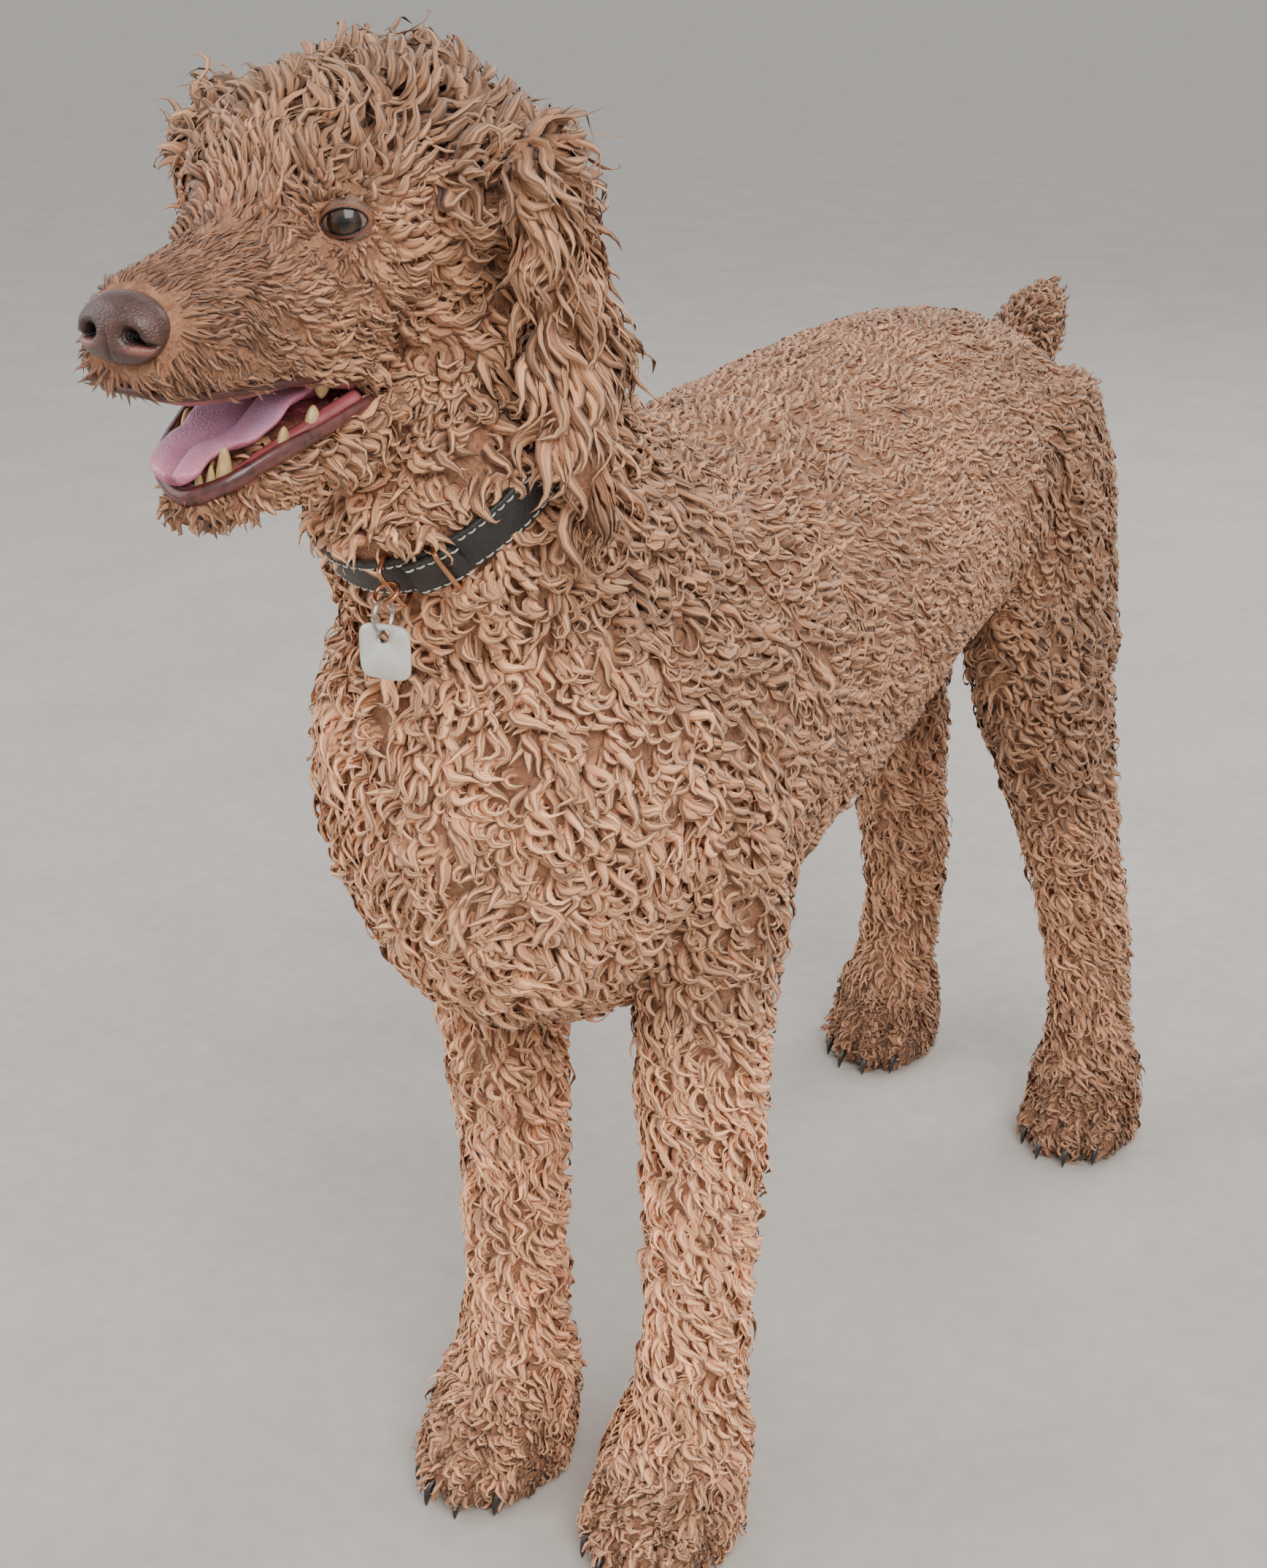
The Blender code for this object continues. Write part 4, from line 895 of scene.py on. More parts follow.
@dataclass
class Skin:
    """The whole body as one closed surface, joined from its lofts."""

    body: Body
    voxel: float = 0.0031
    calm: int = 6
    socket: tuple = (0.0090, 0.0062)

    def build(self, maker: Maker, finish: Finish) -> Object:
        """Join the lofts, calm the joins, sink the eye sockets and lay the unwrap.

        Args:
            maker: Where the piece is made.
            finish: The skin's finish.

        Returns:
            The skin, with the share of mouth at its points.
        """
        rough = linked("rough", maker.mesh("rough", joined(self.body.shells())))
        remesh = rough.modifiers.new("join", "REMESH")
        remesh.mode = "VOXEL"
        remesh.voxel_size = self.voxel
        smooth = rough.modifiers.new("calm", "SMOOTH")
        smooth.factor = 0.5
        smooth.iterations = self.calm
        graph = bpy.context.evaluated_depsgraph_get()
        mesh = bpy.data.meshes.new_from_object(rough.evaluated_get(graph))
        bpy.data.objects.remove(rough, do_unlink=True)
        points = carried(mesh.vertices, "co", 3).astype(float) - maker.shift
        points = self.sink_sockets(points)
        points[:, 2] = np.maximum(points[:, 2], 0.0)
        mesh.vertices.foreach_set("co", (points + maker.shift).astype(np.float32).ravel())
        layer = mesh.attributes.new("Mouth", "FLOAT", "POINT")
        layer.data.foreach_set("value", mouth_share(in_head(points)).astype(np.float32))
        mesh.polygons.foreach_set("use_smooth", np.ones(len(mesh.polygons), bool))
        mesh.update()
        made = linked("skin", mesh)
        maker.dress(made, finish, Slot.COAT, *BODY_NODES)
        self.unwrap(made)
        return made

    def sink_sockets(self, points: Array) -> Array:
        """Press the skin in behind each eye: depth along the gaze falls off as a smooth step.

        Args:
            points: The skin's points in the stance.

        Returns:
            The points, with both sockets sunk.
        """
        for side in SIDE_NAMES:
            local, axes = seen_by_eye(points, side)
            off = np.hypot(local[:, 0] / self.socket[0], local[:, 1] / self.socket[1])
            near = (off < 1.6) & (local[:, 2] > -0.012)
            share = 1 - ease(off, 0.90, 1.30)
            drop = np.clip(local[:, 2] + 0.002, 0, None) * share
            points = points - np.where(near, drop, 0.0)[:, None] * axes[2]
        return points

    def unwrap(self, made: Object) -> None:
        """Unwrap the skin by the way that its faces point."""
        bpy.context.view_layer.objects.active = made
        made.select_set(True)
        made.data.uv_layers.new(name="OFBake")
        bpy.ops.object.mode_set(mode="EDIT")
        bpy.ops.mesh.select_all(action="SELECT")
        bpy.ops.uv.smart_project(angle_limit=radians(66), island_margin=0.001)
        bpy.ops.object.mode_set(mode="OBJECT")
        made.select_set(False)


BODY_NODES = (
    "torso", "neck", "head", "lower_jaw", "ear_left", "ear_right", "tail",
    "front_leg_left", "front_leg_right", "front_paw_left", "front_paw_right",
    "thigh_left", "thigh_right", "hind_leg_left", "hind_leg_right",
    "hind_paw_left", "hind_paw_right",
)


@dataclass(frozen=True)
class Curl:
    """How the coat grows near one place.

    The lie is the way that locks run. Places and sizes are in millimetres. Lift, the whole turn
    and the wave, which is how far a lock swings to and fro, are in degrees. Reach is how far
    about its spot the curl counts, and strands is how many locks a clump has.
    """

    spot: tuple[float, float, float]
    lie: tuple[float, float, float]
    length: float
    width: float
    lift: float
    turn: float
    wave: float
    spacing: float
    tone: float
    red: float
    reach: float
    strands: float = 1.0

    def sizes(self) -> list[float]:
        """Return the numbers that are blended, in metres and radians."""
        return [self.length / 1000, self.width / 1000, radians(self.lift), radians(self.turn),
                radians(self.wave), self.spacing / 1000, self.strands, self.tone, self.red]


# Face and crown in the head frame: side, forward, height. Both sides grow alike.
FACE_CURLS = tuple(Curl(*row) for row in (
    ((0, 78, -14), (0, -1, 0.1), 10.08, 3.13, 12.8, 15.6, 13, 2.13, 0.66, 0.63, 18),
    ((0, 45, -4), (0.1, -1, 0.3), 13.44, 3.69, 16, 26, 20.8, 2.38, 0.69, 0.49, 18),
    ((27, 70, -38), (0.3, -1, -0.3), 12.32, 3.55, 17.6, 31.2, 20.8, 2.29, 0.71, 0.44, 18),
    ((30, 45, -42), (0.2, -1, -0.3), 14.56, 3.96, 17.6, 44.2, 31.2, 2.46, 0.75, 0.25, 18),
    ((18, 88, -54), (0.6, -0.5, -0.8), 11.2, 3.27, 24, 26, 15.6, 2.05, 0.71, 0.49, 12),
    ((33, 22, -30), (0.3, -1, -0.1), 16.8, 4.96, 24, 44, 30, 3, 1.02, 0.08, 18),
    ((0, 14, 10), (0.1, -0.5, 1), 23, 5.5, 50, 44, 34, 3, 1.04, 0.2, 16),
    ((44, 4, -22), (0.4, -1, -0.3), 15.68, 4.81, 22, 48, 30, 2.85, 1.1, 0.08, 14),
    ((28, 2, 24), (0.3, -0.4, 1), 24.64, 6, 44, 60, 44, 3.67, 0.7, 0.12, 16),
    ((55, -12, 8), (0.6, -1, -0.3), 23.52, 6.51, 32, 80, 44, 3.97, 1.12, 0.06, 18),
    ((50, -20, -45), (0.1, -1, -0.7), 23.52, 7.09, 30, 100, 50, 4.06, 1.12, 0.04, 22, 1.2),
    ((40, 0, -75), (0.1, -1, -0.7), 22.4, 6.77, 30, 100, 46, 3.7, 1.1, 0.06, 18, 1.2),
    ((30, 28, -106), (0.2, -1, -0.5), 9.09, 4.22, 22.4, 65, 39, 3.18, 0.88, 0.22, 18),
    ((6, 52, -118), (0.1, -0.5, -1), 9.74, 4.22, 28, 57.2, 33.8, 3.18, 0.76, 0.41, 14),
    ((0, 0, -115), (0.1, -0.6, -0.9), 21.28, 6.45, 34, 120, 44, 3.78, 1.04, 0.08, 20),
    ((45, -50, -90), (0.2, -0.6, -1), 25, 7.8, 38, 215, 45, 4.89, 1.04, 0.04, 30),
    ((35, 13, -19), (0.3, -0.8, -0.5), 6.72, 3.1, 16, 31, 16, 2.1, 0.72, 0.85, 15),
    ((22, 66, -56), (0.5, -0.3, -1), 13.44, 3.41, 24, 31.2, 18.2, 2.05, 0.71, 0.47, 9),
    ((31, 36, -54), (0.3, -1, -0.45), 9.32, 3.14, 24, 39, 20.8, 2.13, 0.78, 0.25, 9),
    ((34, 6, -56), (0.3, -1, -0.45), 9.32, 3.82, 30, 44.2, 26, 2.43, 1.02, 0.1, 9),
    ((0, -15, 50), (0.1, -0.1, 1), 36.96, 8.1, 62, 60, 55, 4.98, 0.66, 0.05, 22),
    ((35, -35, 52), (0.4, -0.3, 1), 40.32, 8.4, 60, 70, 55, 5.14, 0.66, 0.03, 22),
    ((0, -70, 60), (0.1, -0.6, 0.8), 38, 8.4, 56, 80, 55, 5.31, 0.68, 0.03, 26),
    ((45, -80, 45), (0.5, -0.9, 0.3), 36, 8.4, 48, 90, 55, 5.31, 0.67, 0.03, 26),
    ((60, -35, 30), (0.6, -0.8, -0.5), 34.72, 7.8, 42, 90, 55, 4.98, 0.68, 0.03, 22),
    ((0, -125, 15), (0.1, -0.5, -0.9), 29, 7.8, 38, 150, 50, 5.64, 0.66, 0.02, 30),
    ((55, -115, -10), (0.3, -0.4, -1), 27, 7.5, 36, 170, 50, 5.47, 0.66, 0.05, 30),
))
# Body and legs in the stance, again for both sides.
BODY_CURLS = tuple(Curl(*row) for row in (
    ((55, -300, 640), (0.1, 0.2, -1), 25, 7.36, 44, 245, 45, 4.41, 1.15, 0.03, 40),
    ((85, -230, 590), (0.1, 0.3, -1), 26, 7.36, 42, 225, 45, 4.55, 0.88, 0.03, 50),
    ((0, -150, 640), (0.1, 0.8, -0.5), 20, 6.48, 36, 160, 40, 4.71, 0.85, 0.03, 50),
    ((0, -340, 560), (0.1, -0.2, -1), 26, 8.15, 44, 190, 45, 5.15, 1.41, 0.02, 50),
    ((0, -320, 460), (0.1, -0.1, -1), 27, 8.46, 42, 165, 48, 5.3, 1.48, 0, 50),
    ((85, -260, 450), (0.1, 0.1, -1), 27, 8.46, 40, 165, 46, 5.3, 1.45, 0, 50),
    ((115, -160, 520), (0.1, 0.6, -1), 23, 7.07, 36, 165, 42, 5.04, 0.89, 0, 50),
    ((0, -80, 605), (0.1, 1, -0.2), 14.4, 5.75, 24.48, 104, 36, 4.05, 0.91, 0, 60),
    ((60, 60, 610), (0.2, 1, -0.2), 13.5, 5.45, 24.48, 104, 36, 3.98, 0.93, 0, 60),
    ((50, 220, 610), (0.2, 1, -0.3), 14.4, 5.6, 24.48, 112, 36, 3.98, 0.75, 0, 60),
    ((118, -40, 490), (0.1, 0.8, -0.8), 16.2, 6.07, 24.48, 120, 38, 4.09, 0.91, 0, 60),
    ((112, 100, 500), (0.1, 0.8, -0.7), 14.4, 5.75, 24.48, 112, 36, 3.93, 0.92, 0, 60),
    ((95, 60, 390), (0.1, 0.7, -0.8), 17.1, 6.22, 24.48, 120, 40, 4.57, 0.87, 0, 50),
    ((0, 40, 335), (0.1, 1, -0.3), 17, 6.72, 30, 140, 36, 6.09, 0.77, 0.08, 50),
    ((0, -200, 300), (0.1, 0.6, -0.8), 20, 7.04, 34, 150, 40, 5.92, 0.79, 0.05, 40),
    ((100, 230, 500), (0.1, 0.3, -1), 20, 7.39, 36, 207, 40, 4.91, 0.71, 0.03, 50),
    ((50, 330, 470), (0.2, 0.5, -1), 22, 7.73, 40, 230, 40, 5.08, 0.67, 0.05, 50),
    ((115, -180, 380), (0.1, 0, -1), 26, 8.64, 40, 165, 46, 5.29, 1, 0, 45),
    ((72, -175, 250), (0.1, 0, -1), 27.22, 7.6, 31.28, 80.39, 48.4, 4.58, 1.8, 0, 60),
    ((70, -175, 120), (0.1, 0, -1), 26.08, 7.29, 31.28, 84.99, 48.4, 4.44, 1.77, 0.02, 50),
    ((66, -205, 28), (0.1, -0.7, -0.7), 19.62, 6.3, 48, 215, 45, 3.87, 1.25, 0.13, 40),
    ((78, 260, 370), (0.1, 0.2, -1), 24, 8.06, 40, 230, 44, 5.42, 0.68, 0.04, 50),
    ((88, 310, 220), (0.1, 0.2, -1), 24.95, 6.99, 32.84, 91.87, 48.4, 4.29, 1.06, 0.06, 50),
    ((95, 332, 110), (0.1, 0, -1), 23.81, 6.68, 32.84, 98.76, 48.4, 4.15, 1.06, 0.08, 45),
    ((99, 322, 26), (0.1, -0.7, -0.7), 19.62, 6.3, 48, 215, 45, 3.87, 0.81, 0.22, 40),
    ((3, 375, 580), (0.1, 0.86, 0.4), 16, 6.4, 70, 285, 45, 4.06, 0.72, 0.12, 30),
))


class GrowthMap:
    """Blends the curl tables over the body by bell-shaped weights about their spots."""

    def __init__(self) -> None:
        """Lay out both tables and their mirror images in the stance."""
        spots, rows, reach = [], [], []
        for side in SIDE_NAMES:
            flip = np.array((side, 1, 1))
            for curl in (*FACE_CURLS, *BODY_CURLS):
                spot, lie = np.array(curl.spot) / 1000 * flip, np.array(curl.lie) * flip
                if curl in FACE_CURLS:
                    spot, lie = on_head(spot), lie @ HEAD
                spots.append(spot)
                rows.append([*lie, *curl.sizes()])
                reach.append(curl.reach / 1000)
        self.spots, self.rows, self.reach = np.array(spots), np.array(rows), np.array(reach)

    def at(self, points: Array) -> Array:
        """Blend the rows: their mean by exp(-(d / reach) squared).

        Args:
            points: Places in the stance.

        Returns:
            One blended row per point.
        """
        gap = np.linalg.norm(points[:, None] - self.spots[None], axis=2) / self.reach
        weight = np.exp(-(gap ** 2 - gap.min(axis=1, keepdims=True) ** 2))
        return (weight @ self.rows) / weight.sum(axis=1, keepdims=True)


@dataclass
class Roots:
    """Where locks grow: place, outward direction, bake place and growth numbers."""

    points: Array
    normals: Array
    uvs: Array
    rows: Array

    def only(self, keep: Array) -> "Roots":
        """Return some of the roots."""
        return Roots(self.points[keep], self.normals[keep], self.uvs[keep], self.rows[keep])


@dataclass
class Locks:
    """Grows curled locks of hair: flat bands, striped along, that taper to a point.

    A lock's middle line is the running sum of unit steps. Each step heads along the lie, turned in
    the skin's plane by start + turn t + wave sin(2 pi f t + phase), and raised by an elevation
    that falls from the lift to below the surface and swings in step with the wave. The bands of a
    clump run side by side, and each rolls about its own line as it goes.
    """

    rings: int = 8
    sides: int = 3
    settle: float = 1.3
    gather: float = 0.50
    pitch: float = 0.74
    twist: float = 0.45
    thick: float = 0.19
    drift: float = 0.065
    stray: float = 0.6
    lean: float = 0.42
    sink: float = 0.0022
    floor_gap: float = 0.0016
    patch: float = 0.003

    def grow(self, roots: Roots, seed: int) -> Shape:
        """Grow the locks of all roots.

        Args:
            roots: The clumps' roots.
            seed: Where the random numbers start.

        Returns:
            All locks as one shape.
        """
        draw = np.random.default_rng(seed)
        hoped = roots.rows[:, STRANDS] + draw.uniform(-0.5, 0.5, len(roots.points))
        counts = np.maximum(np.rint(hoped).astype(int), 1)
        own = np.repeat(np.arange(len(counts)), counts)
        total = len(own)
        place = np.arange(total) - np.repeat(np.cumsum(counts) - counts, counts)
        place = place - (counts[own] - 1) / 2
        rows, normal = roots.rows[own], roots.normals[own]
        lie = rows[:, :3] - np.einsum("ij,ij->i", rows[:, :3], normal)[:, None] * normal
        lie = unit(lie + 1e-6)
        across = np.cross(normal, lie)
        length, width, lift, turn, wave = rows[:, LENGTH:SPACING].T
        flow = self.flow(roots.points)
        strays = draw.normal(0, self.stray, len(counts))
        signs = np.where(flow[0] + strays > 0, 1.0, -1.0)[own]
        clump = draw.uniform(0, 1, (6, len(counts)))[:, own]
        loose = draw.normal(0, 1, (6, total))
        turn = signs * turn * (0.55 + 0.8 * clump[0]) + 0.14 * loose[0]
        start = -turn * 0.45 + self.lean * flow[1][own] + (clump[1] - 0.5) * 0.6
        start = start + 0.08 * loose[1]
        phase = 3.0 * flow[2][own] + (clump[2] - 0.5) * 1.1 + 0.2 * loose[2]
        beat = 0.9 + 0.4 * clump[3]
        length = length * (0.80 + 0.35 * clump[4]) * (1 + 0.10 * loose[3])
        lift = lift * (0.75 + 0.5 * clump[5]) + 0.05 * loose[4]
        t = np.linspace(0, 1, self.rings + 1)
        step = (t[1:] + t[:-1]) / 2

        def heading(at: Array) -> Array:
            """Return how far each lock has turned from the lie at shares of its length."""
            swing = 2 * pi * beat[:, None] * at + phase[:, None]
            return start[:, None] + turn[:, None] * at + wave[:, None] * np.sin(swing)

        swing = 2 * pi * beat[:, None] * step + phase[:, None]
        rise = lift[:, None] * (1 - self.settle * step) + 0.5 * wave[:, None] * np.cos(swing)
        ways = heading(step)[..., None]
        flat = np.cos(rise)[..., None] * (np.cos(ways) * lie[:, None]
                                          + np.sin(ways) * across[:, None])
        steps = flat + np.sin(rise)[..., None] * normal[:, None]
        steps = steps * (length / self.rings)[:, None, None]
        line = np.concatenate([np.zeros((total, 1, 3)), np.cumsum(steps, axis=1)], axis=1)
        ways = heading(t)[..., None]
        beside = np.cos(ways) * across[:, None] - np.sin(ways) * lie[:, None]
        apart = (place * width * self.pitch)[:, None] * (1 - self.gather * t)
        line = line + beside * apart[..., None]
        under = np.minimum(self.sink, 0.07 * length) + np.abs(place) * width * 0.10
        line = line + (roots.points[own] - normal * under[:, None])[:, None]
        line[..., 2] = np.maximum(line[..., 2], self.floor_gap)
        width = width * (0.75 + 0.5 * draw.uniform(0, 1, total))
        roll = 0.28 * loose[5][:, None] + self.twist * (signs * (2 * clump[3] - 0.6))[:, None] * t
        return self.skinned(line, normal, width, roll, roots.uvs[own], rows, draw)

    def flow(self, points: Array) -> Array:
        """Make neighbouring locks bend alike, by sums of waves a few centimetres long.

        Args:
            points: Places in the stance.

        Returns:
            Three smooth fields from -1 to 1.
        """
        draw = np.random.default_rng(5)
        fields = []
        for _ in range(3):
            ways = draw.normal(0, 1, (3, 9)) * 2 * pi / self.drift
            waves = np.sin(points @ ways + draw.uniform(0, 2 * pi, 9))
            fields.append(np.tanh(waves.sum(axis=1) * 0.7))
        return np.array(fields)

    def skinned(self, line: Array, normal: Array, width: Array, roll: Array, uv: Array,
                rows: Array, draw: np.random.Generator) -> Shape:
        """Lay tapering bands with a low crest about middle lines.

        The half width is half of width (1.12 + 0.22 t) (1 - t to the 1.15).

        Args:
            line: Middle points, locks by rings by three; the last is the tip.
            normal: The skin's direction at each root.
            width: Each lock's full width.
            roll: How far each lock is turned about its own line at each ring.
            uv: Bake place of each root.
            rows: Growth numbers of each lock.
            draw: Source of random numbers.

        Returns:
            The bands, with the share along each lock, its tone and redness, its bake place and
            the place of its stripes.
        """
        total, rings, sides = len(line), self.rings, self.sides
        run = unit(np.gradient(line, axis=1))[:, :-1]
        side = unit(np.cross(run, normal[:, None] + 0.2 * run[:, ::-1]))
        rise = np.cross(side, run)
        roll = roll[:, :-1, None]
        flat = np.cos(roll) * side + np.sin(roll) * rise
        tall = np.cross(flat, run)
        t = np.arange(rings) / rings
        taper = (1.12 + 0.22 * t) * (1 - t ** 1.15)
        angle = pi / 2 + 2 * pi * np.arange(sides) / sides
        size = (width[:, None] * 0.5 * taper)[..., None, None]
        points = line[:, :-1, None] + size * (
            flat[:, :, None] * np.cos(angle)[:, None]
            + tall[:, :, None] * np.sin(angle)[:, None] * self.thick)
        points = np.concatenate([points.reshape(total, -1, 3), line[:, -1:]], axis=1)
        count = rings * sides + 1
        corner = np.arange(sides)
        after = (corner + 1) % sides
        last = (rings - 1) * sides
        tip = np.stack((last + corner, last + after, np.full(sides, count - 1)), 1)
        root = np.array([[0, 2, 1]])
        pattern = np.concatenate([grid_faces(rings, sides), tip, root])
        faces = (pattern[None] + (np.arange(total) * count)[:, None, None]).reshape(-1, 3)
        along = np.append(np.repeat(t, sides), 1.0)
        around = np.append(np.tile(corner / sides, rings), 0.5)
        tone = rows[:, TONE] * np.clip(draw.normal(1.0, 0.075, total), 0.78, 1.22)
        red = np.clip(rows[:, RED] + draw.normal(0, 0.06, total), 0, 1)
        patch = np.stack((around, along), 1) * self.patch - self.patch / 2
        band = np.append(np.tile(np.cos(angle) * 0.5, rings), 0.0)
        run_length = np.linalg.norm(np.diff(line, axis=1), axis=2).sum(axis=1)
        stripe = spread(band * (width / 0.004)[:, None] + draw.uniform(0, 20, total)[:, None],
                        along * (run_length / 0.010)[:, None]
                        + draw.uniform(0, 20, total)[:, None])
        return Shape(
            points.reshape(-1, 3), faces,
            {"Along": np.tile(along, total), "Tone": np.repeat(tone, count),
             "Red": np.repeat(red, count)},
            {"OFBake": (uv[:, None] + patch[None]).reshape(-1, 2),
             "Strand": stripe.reshape(-1, 2)},
        ).outward()


# Coat pieces, each with the middle of what it covers, in the stance and in millimetres.
COAT_PARTS = {
    "coat_crown": (-15, -300, 790), "coat_face": (-10, -400, 680), "coat_neck": (0, -230, 600),
    "coat_chest": (0, -290, 440), "coat_left_shoulder": (110, -120, 480),
    "coat_right_shoulder": (-110, -120, 480), "coat_left_side": (100, 60, 480),
    "coat_right_side": (-100, 60, 480), "coat_rump": (0, 270, 580),
    "coat_left_thigh": (80, 270, 400), "coat_right_thigh": (-80, 270, 420),
    "coat_left_front_leg": (70, -175, 200), "coat_right_front_leg": (-60, -175, 200),
    "coat_left_hind_leg": (95, 320, 120), "coat_right_hind_leg": (-75, 360, 120),
}


def by_collar(points: Array) -> Array:
    """Tell which points are near the collar's height, behind the face."""
    return (in_head(points)[:, 1] < FACE_STARTS) & (points[:, 2] > COLLAR_FLOOR)


@dataclass
class Coat:
    """The locks that grow from the skin, in pieces by part of the body."""

    seed: int = 11
    tries: float = 3.2
    growth: GrowthMap = field(default_factory=GrowthMap)
    # No hair grows in these half sizes about the nose and the eyes, or below the sole's edge.
    bare_nose: tuple = (0.0195, 0.0150, 0.0140)
    bare_eye: tuple = (0.0096, 0.0063)
    eye_depth: float = 0.02
    sole: float = 0.005
    # The ears' coat: from how far behind the eyes it is measured, and how far fore and aft.
    ear_back: float = 0.066
    ear_reach: float = 0.05
    # Lattice for thinning: its finest cell, the step from one to the next, and cell per spacing.
    finest: float = 0.0024
    coarser: float = 1.12
    steps: int = 20
    cell: float = 1.16
    # Locks shorter, or longer, than these have fewer, or more, rings. The plain ones are long,
    # but not as long or as curled as these say.
    short: float = 0.0135
    long: float = 0.0195
    plain_length: float = 0.03
    plain_turn: float = 1.8

    def roots(self, skin: Object, shift: Array, body: Body) -> Roots:
        """Scatter roots over the skin, closer where the spacing is small, and thin them evenly.

        Args:
            skin: The skin that they stand on.
            shift: The step from the stance to the model's frame.
            body: The body, for its ears.

        Returns:
            The roots, in the stance.
        """
        mesh = skin.data
        mesh.calc_loop_triangles()
        corners = carried(mesh.loop_triangles, "vertices", 3, np.int32)
        loops = carried(mesh.loop_triangles, "loops", 3, np.int32)
        points = carried(mesh.vertices, "co", 3).astype(float) - shift
        normals = carried(mesh.vertices, "normal", 3).astype(float)
        uvs = carried(mesh.uv_layers["OFBake"].data, "uv", 2)
        a, b, c = (points[corners[:, corner]] for corner in range(3))
        area = np.linalg.norm(np.cross(b - a, c - a), axis=1) / 2
        pace = self.at((a + b + c) / 3, body)[:, SPACING]
        draw = np.random.default_rng(self.seed)
        hope = area / pace ** 2
        total = int(hope.sum() * self.tries)
        chosen = np.searchsorted(np.cumsum(hope) / hope.sum(), draw.uniform(0, 1, total))
        chosen = np.minimum(chosen, len(corners) - 1)
        share = draw.dirichlet((1, 1, 1), total)
        found = Roots(
            np.einsum("ij,ijk->ik", share, points[corners[chosen]]),
            unit(np.einsum("ij,ijk->ik", share, normals[corners[chosen]])),
            np.einsum("ij,ijk->ik", share, uvs[loops[chosen]]), np.empty((0, RED + 1)))
        found.rows = self.at(found.points, body)
        found = found.only(self.grows(found))
        return found.only(self.thinned(found, draw))

    def at(self, points: Array, body: Body) -> Array:
        """Blend the growth tables, and lay the ears' own growth over them.

        An ear's locks hang and fan out towards its edges. They stand closer and higher along the
        parting where the ear leaves the head, and a little so at its end.

        Args:
            points: Places in the stance.
            body: The body, for its ears.

        Returns:
            The growth numbers at the points, one row each.
        """
        rows = self.growth.at(points)
        table = np.array(body.ear)
        for side in SIDE_NAMES:
            axes, origin = body.ear_frame(side)
            ahead, up, out = ((points - origin) @ axes.T).T
            fall = -up
            abreast = np.abs(ahead + self.ear_back) < self.ear_reach
            on_ear = (out > 0.001) & (fall > -0.002) & (fall < 0.17) & abreast
            share = np.where(on_ear, ease(fall, -0.002, 0.02), 0.0)[:, None]
            middle = np.interp(fall, table[:, 0], table[:, 1])
            flare = np.clip((ahead - middle) / 0.035, -1, 1)
            lie = -axes[1] + axes[0] * (flare * 0.35)[:, None]
            outer = np.where(out > 0.012, 1.0, 0.0)
            sizes = np.stack(np.broadcast_arrays(
                0.028 + 0.014 * np.clip(fall / 0.12, 0, 1) * outer, 0.0084,
                0.30 + 0.12 * np.abs(flare), 0.6, 0.72, 0.0044 + 0.0014 * (1 - outer), 1.0,
                0.98 + 0.12 * ease(ahead - middle, 0.0, 0.03), 0.03), 1)
            rows = rows * (1 - share) + np.concatenate([lie, sizes], axis=1) * share
            parting = bell(fall - 0.004, 0.016) * (out > -0.02) * abreast
            parting = np.maximum(parting, 0.5 * on_ear * bell(fall - 0.14, 0.03))
            rows[:, SPACING] *= 1 - 0.34 * parting
            rows[:, LIFT] += 0.30 * parting
        return rows

    def grows(self, roots: Roots) -> Array:
        """Tell which roots carry hair.

        Args:
            roots: All roots.

        Returns:
            True for each root that is clear of the eyes, nose, mouth, collar and soles.
        """
        local = in_head(roots.points)
        keep = (roots.points[:, 2] > self.sole) & (mouth_share(local) < 0.35)
        nose = (local - np.array(NOSE_CENTRE)) / np.array(self.bare_nose)
        keep &= np.linalg.norm(nose, axis=1) > 1.0
        for side in SIDE_NAMES:
            seen = seen_by_eye(roots.points, side)[0]
            off = np.hypot(seen[:, 0] / self.bare_eye[0], seen[:, 1] / self.bare_eye[1])
            keep &= (off > 1.0) | (seen[:, 2] < -self.eye_depth)
        under = np.abs(Collar().along(roots.points)) < STRAP_WIDTH / 2 + 0.001
        return keep & ~(under & by_collar(roots.points))

    def thinned(self, roots: Roots, draw: np.random.Generator) -> Array:
        """Keep one root in each cell of a lattice as wide as the spacing there.

        Args:
            roots: All roots.
            draw: Source of random numbers.

        Returns:
            The numbers of the roots kept, those nearest their cells' middles.
        """
        ladder = self.finest * self.coarser ** np.arange(self.steps)
        level = np.abs(np.log(roots.rows[:, SPACING, None] / ladder[None])).argmin(axis=1)
        cell = ladder[level][:, None] * self.cell
        spot = roots.points / cell
        key = np.concatenate([level[:, None], np.floor(spot)], axis=1).astype(np.int64)
        off = np.linalg.norm(spot - np.floor(spot) - 0.5, axis=1) + draw.uniform(0, 0.25, len(key))
        order = np.argsort(off)
        code = (key[order] * np.array((1, 40, 40 * 4001, 40 * 4001 * 4001))).sum(axis=1)
        return np.sort(order[np.unique(code, return_index=True)[1]])

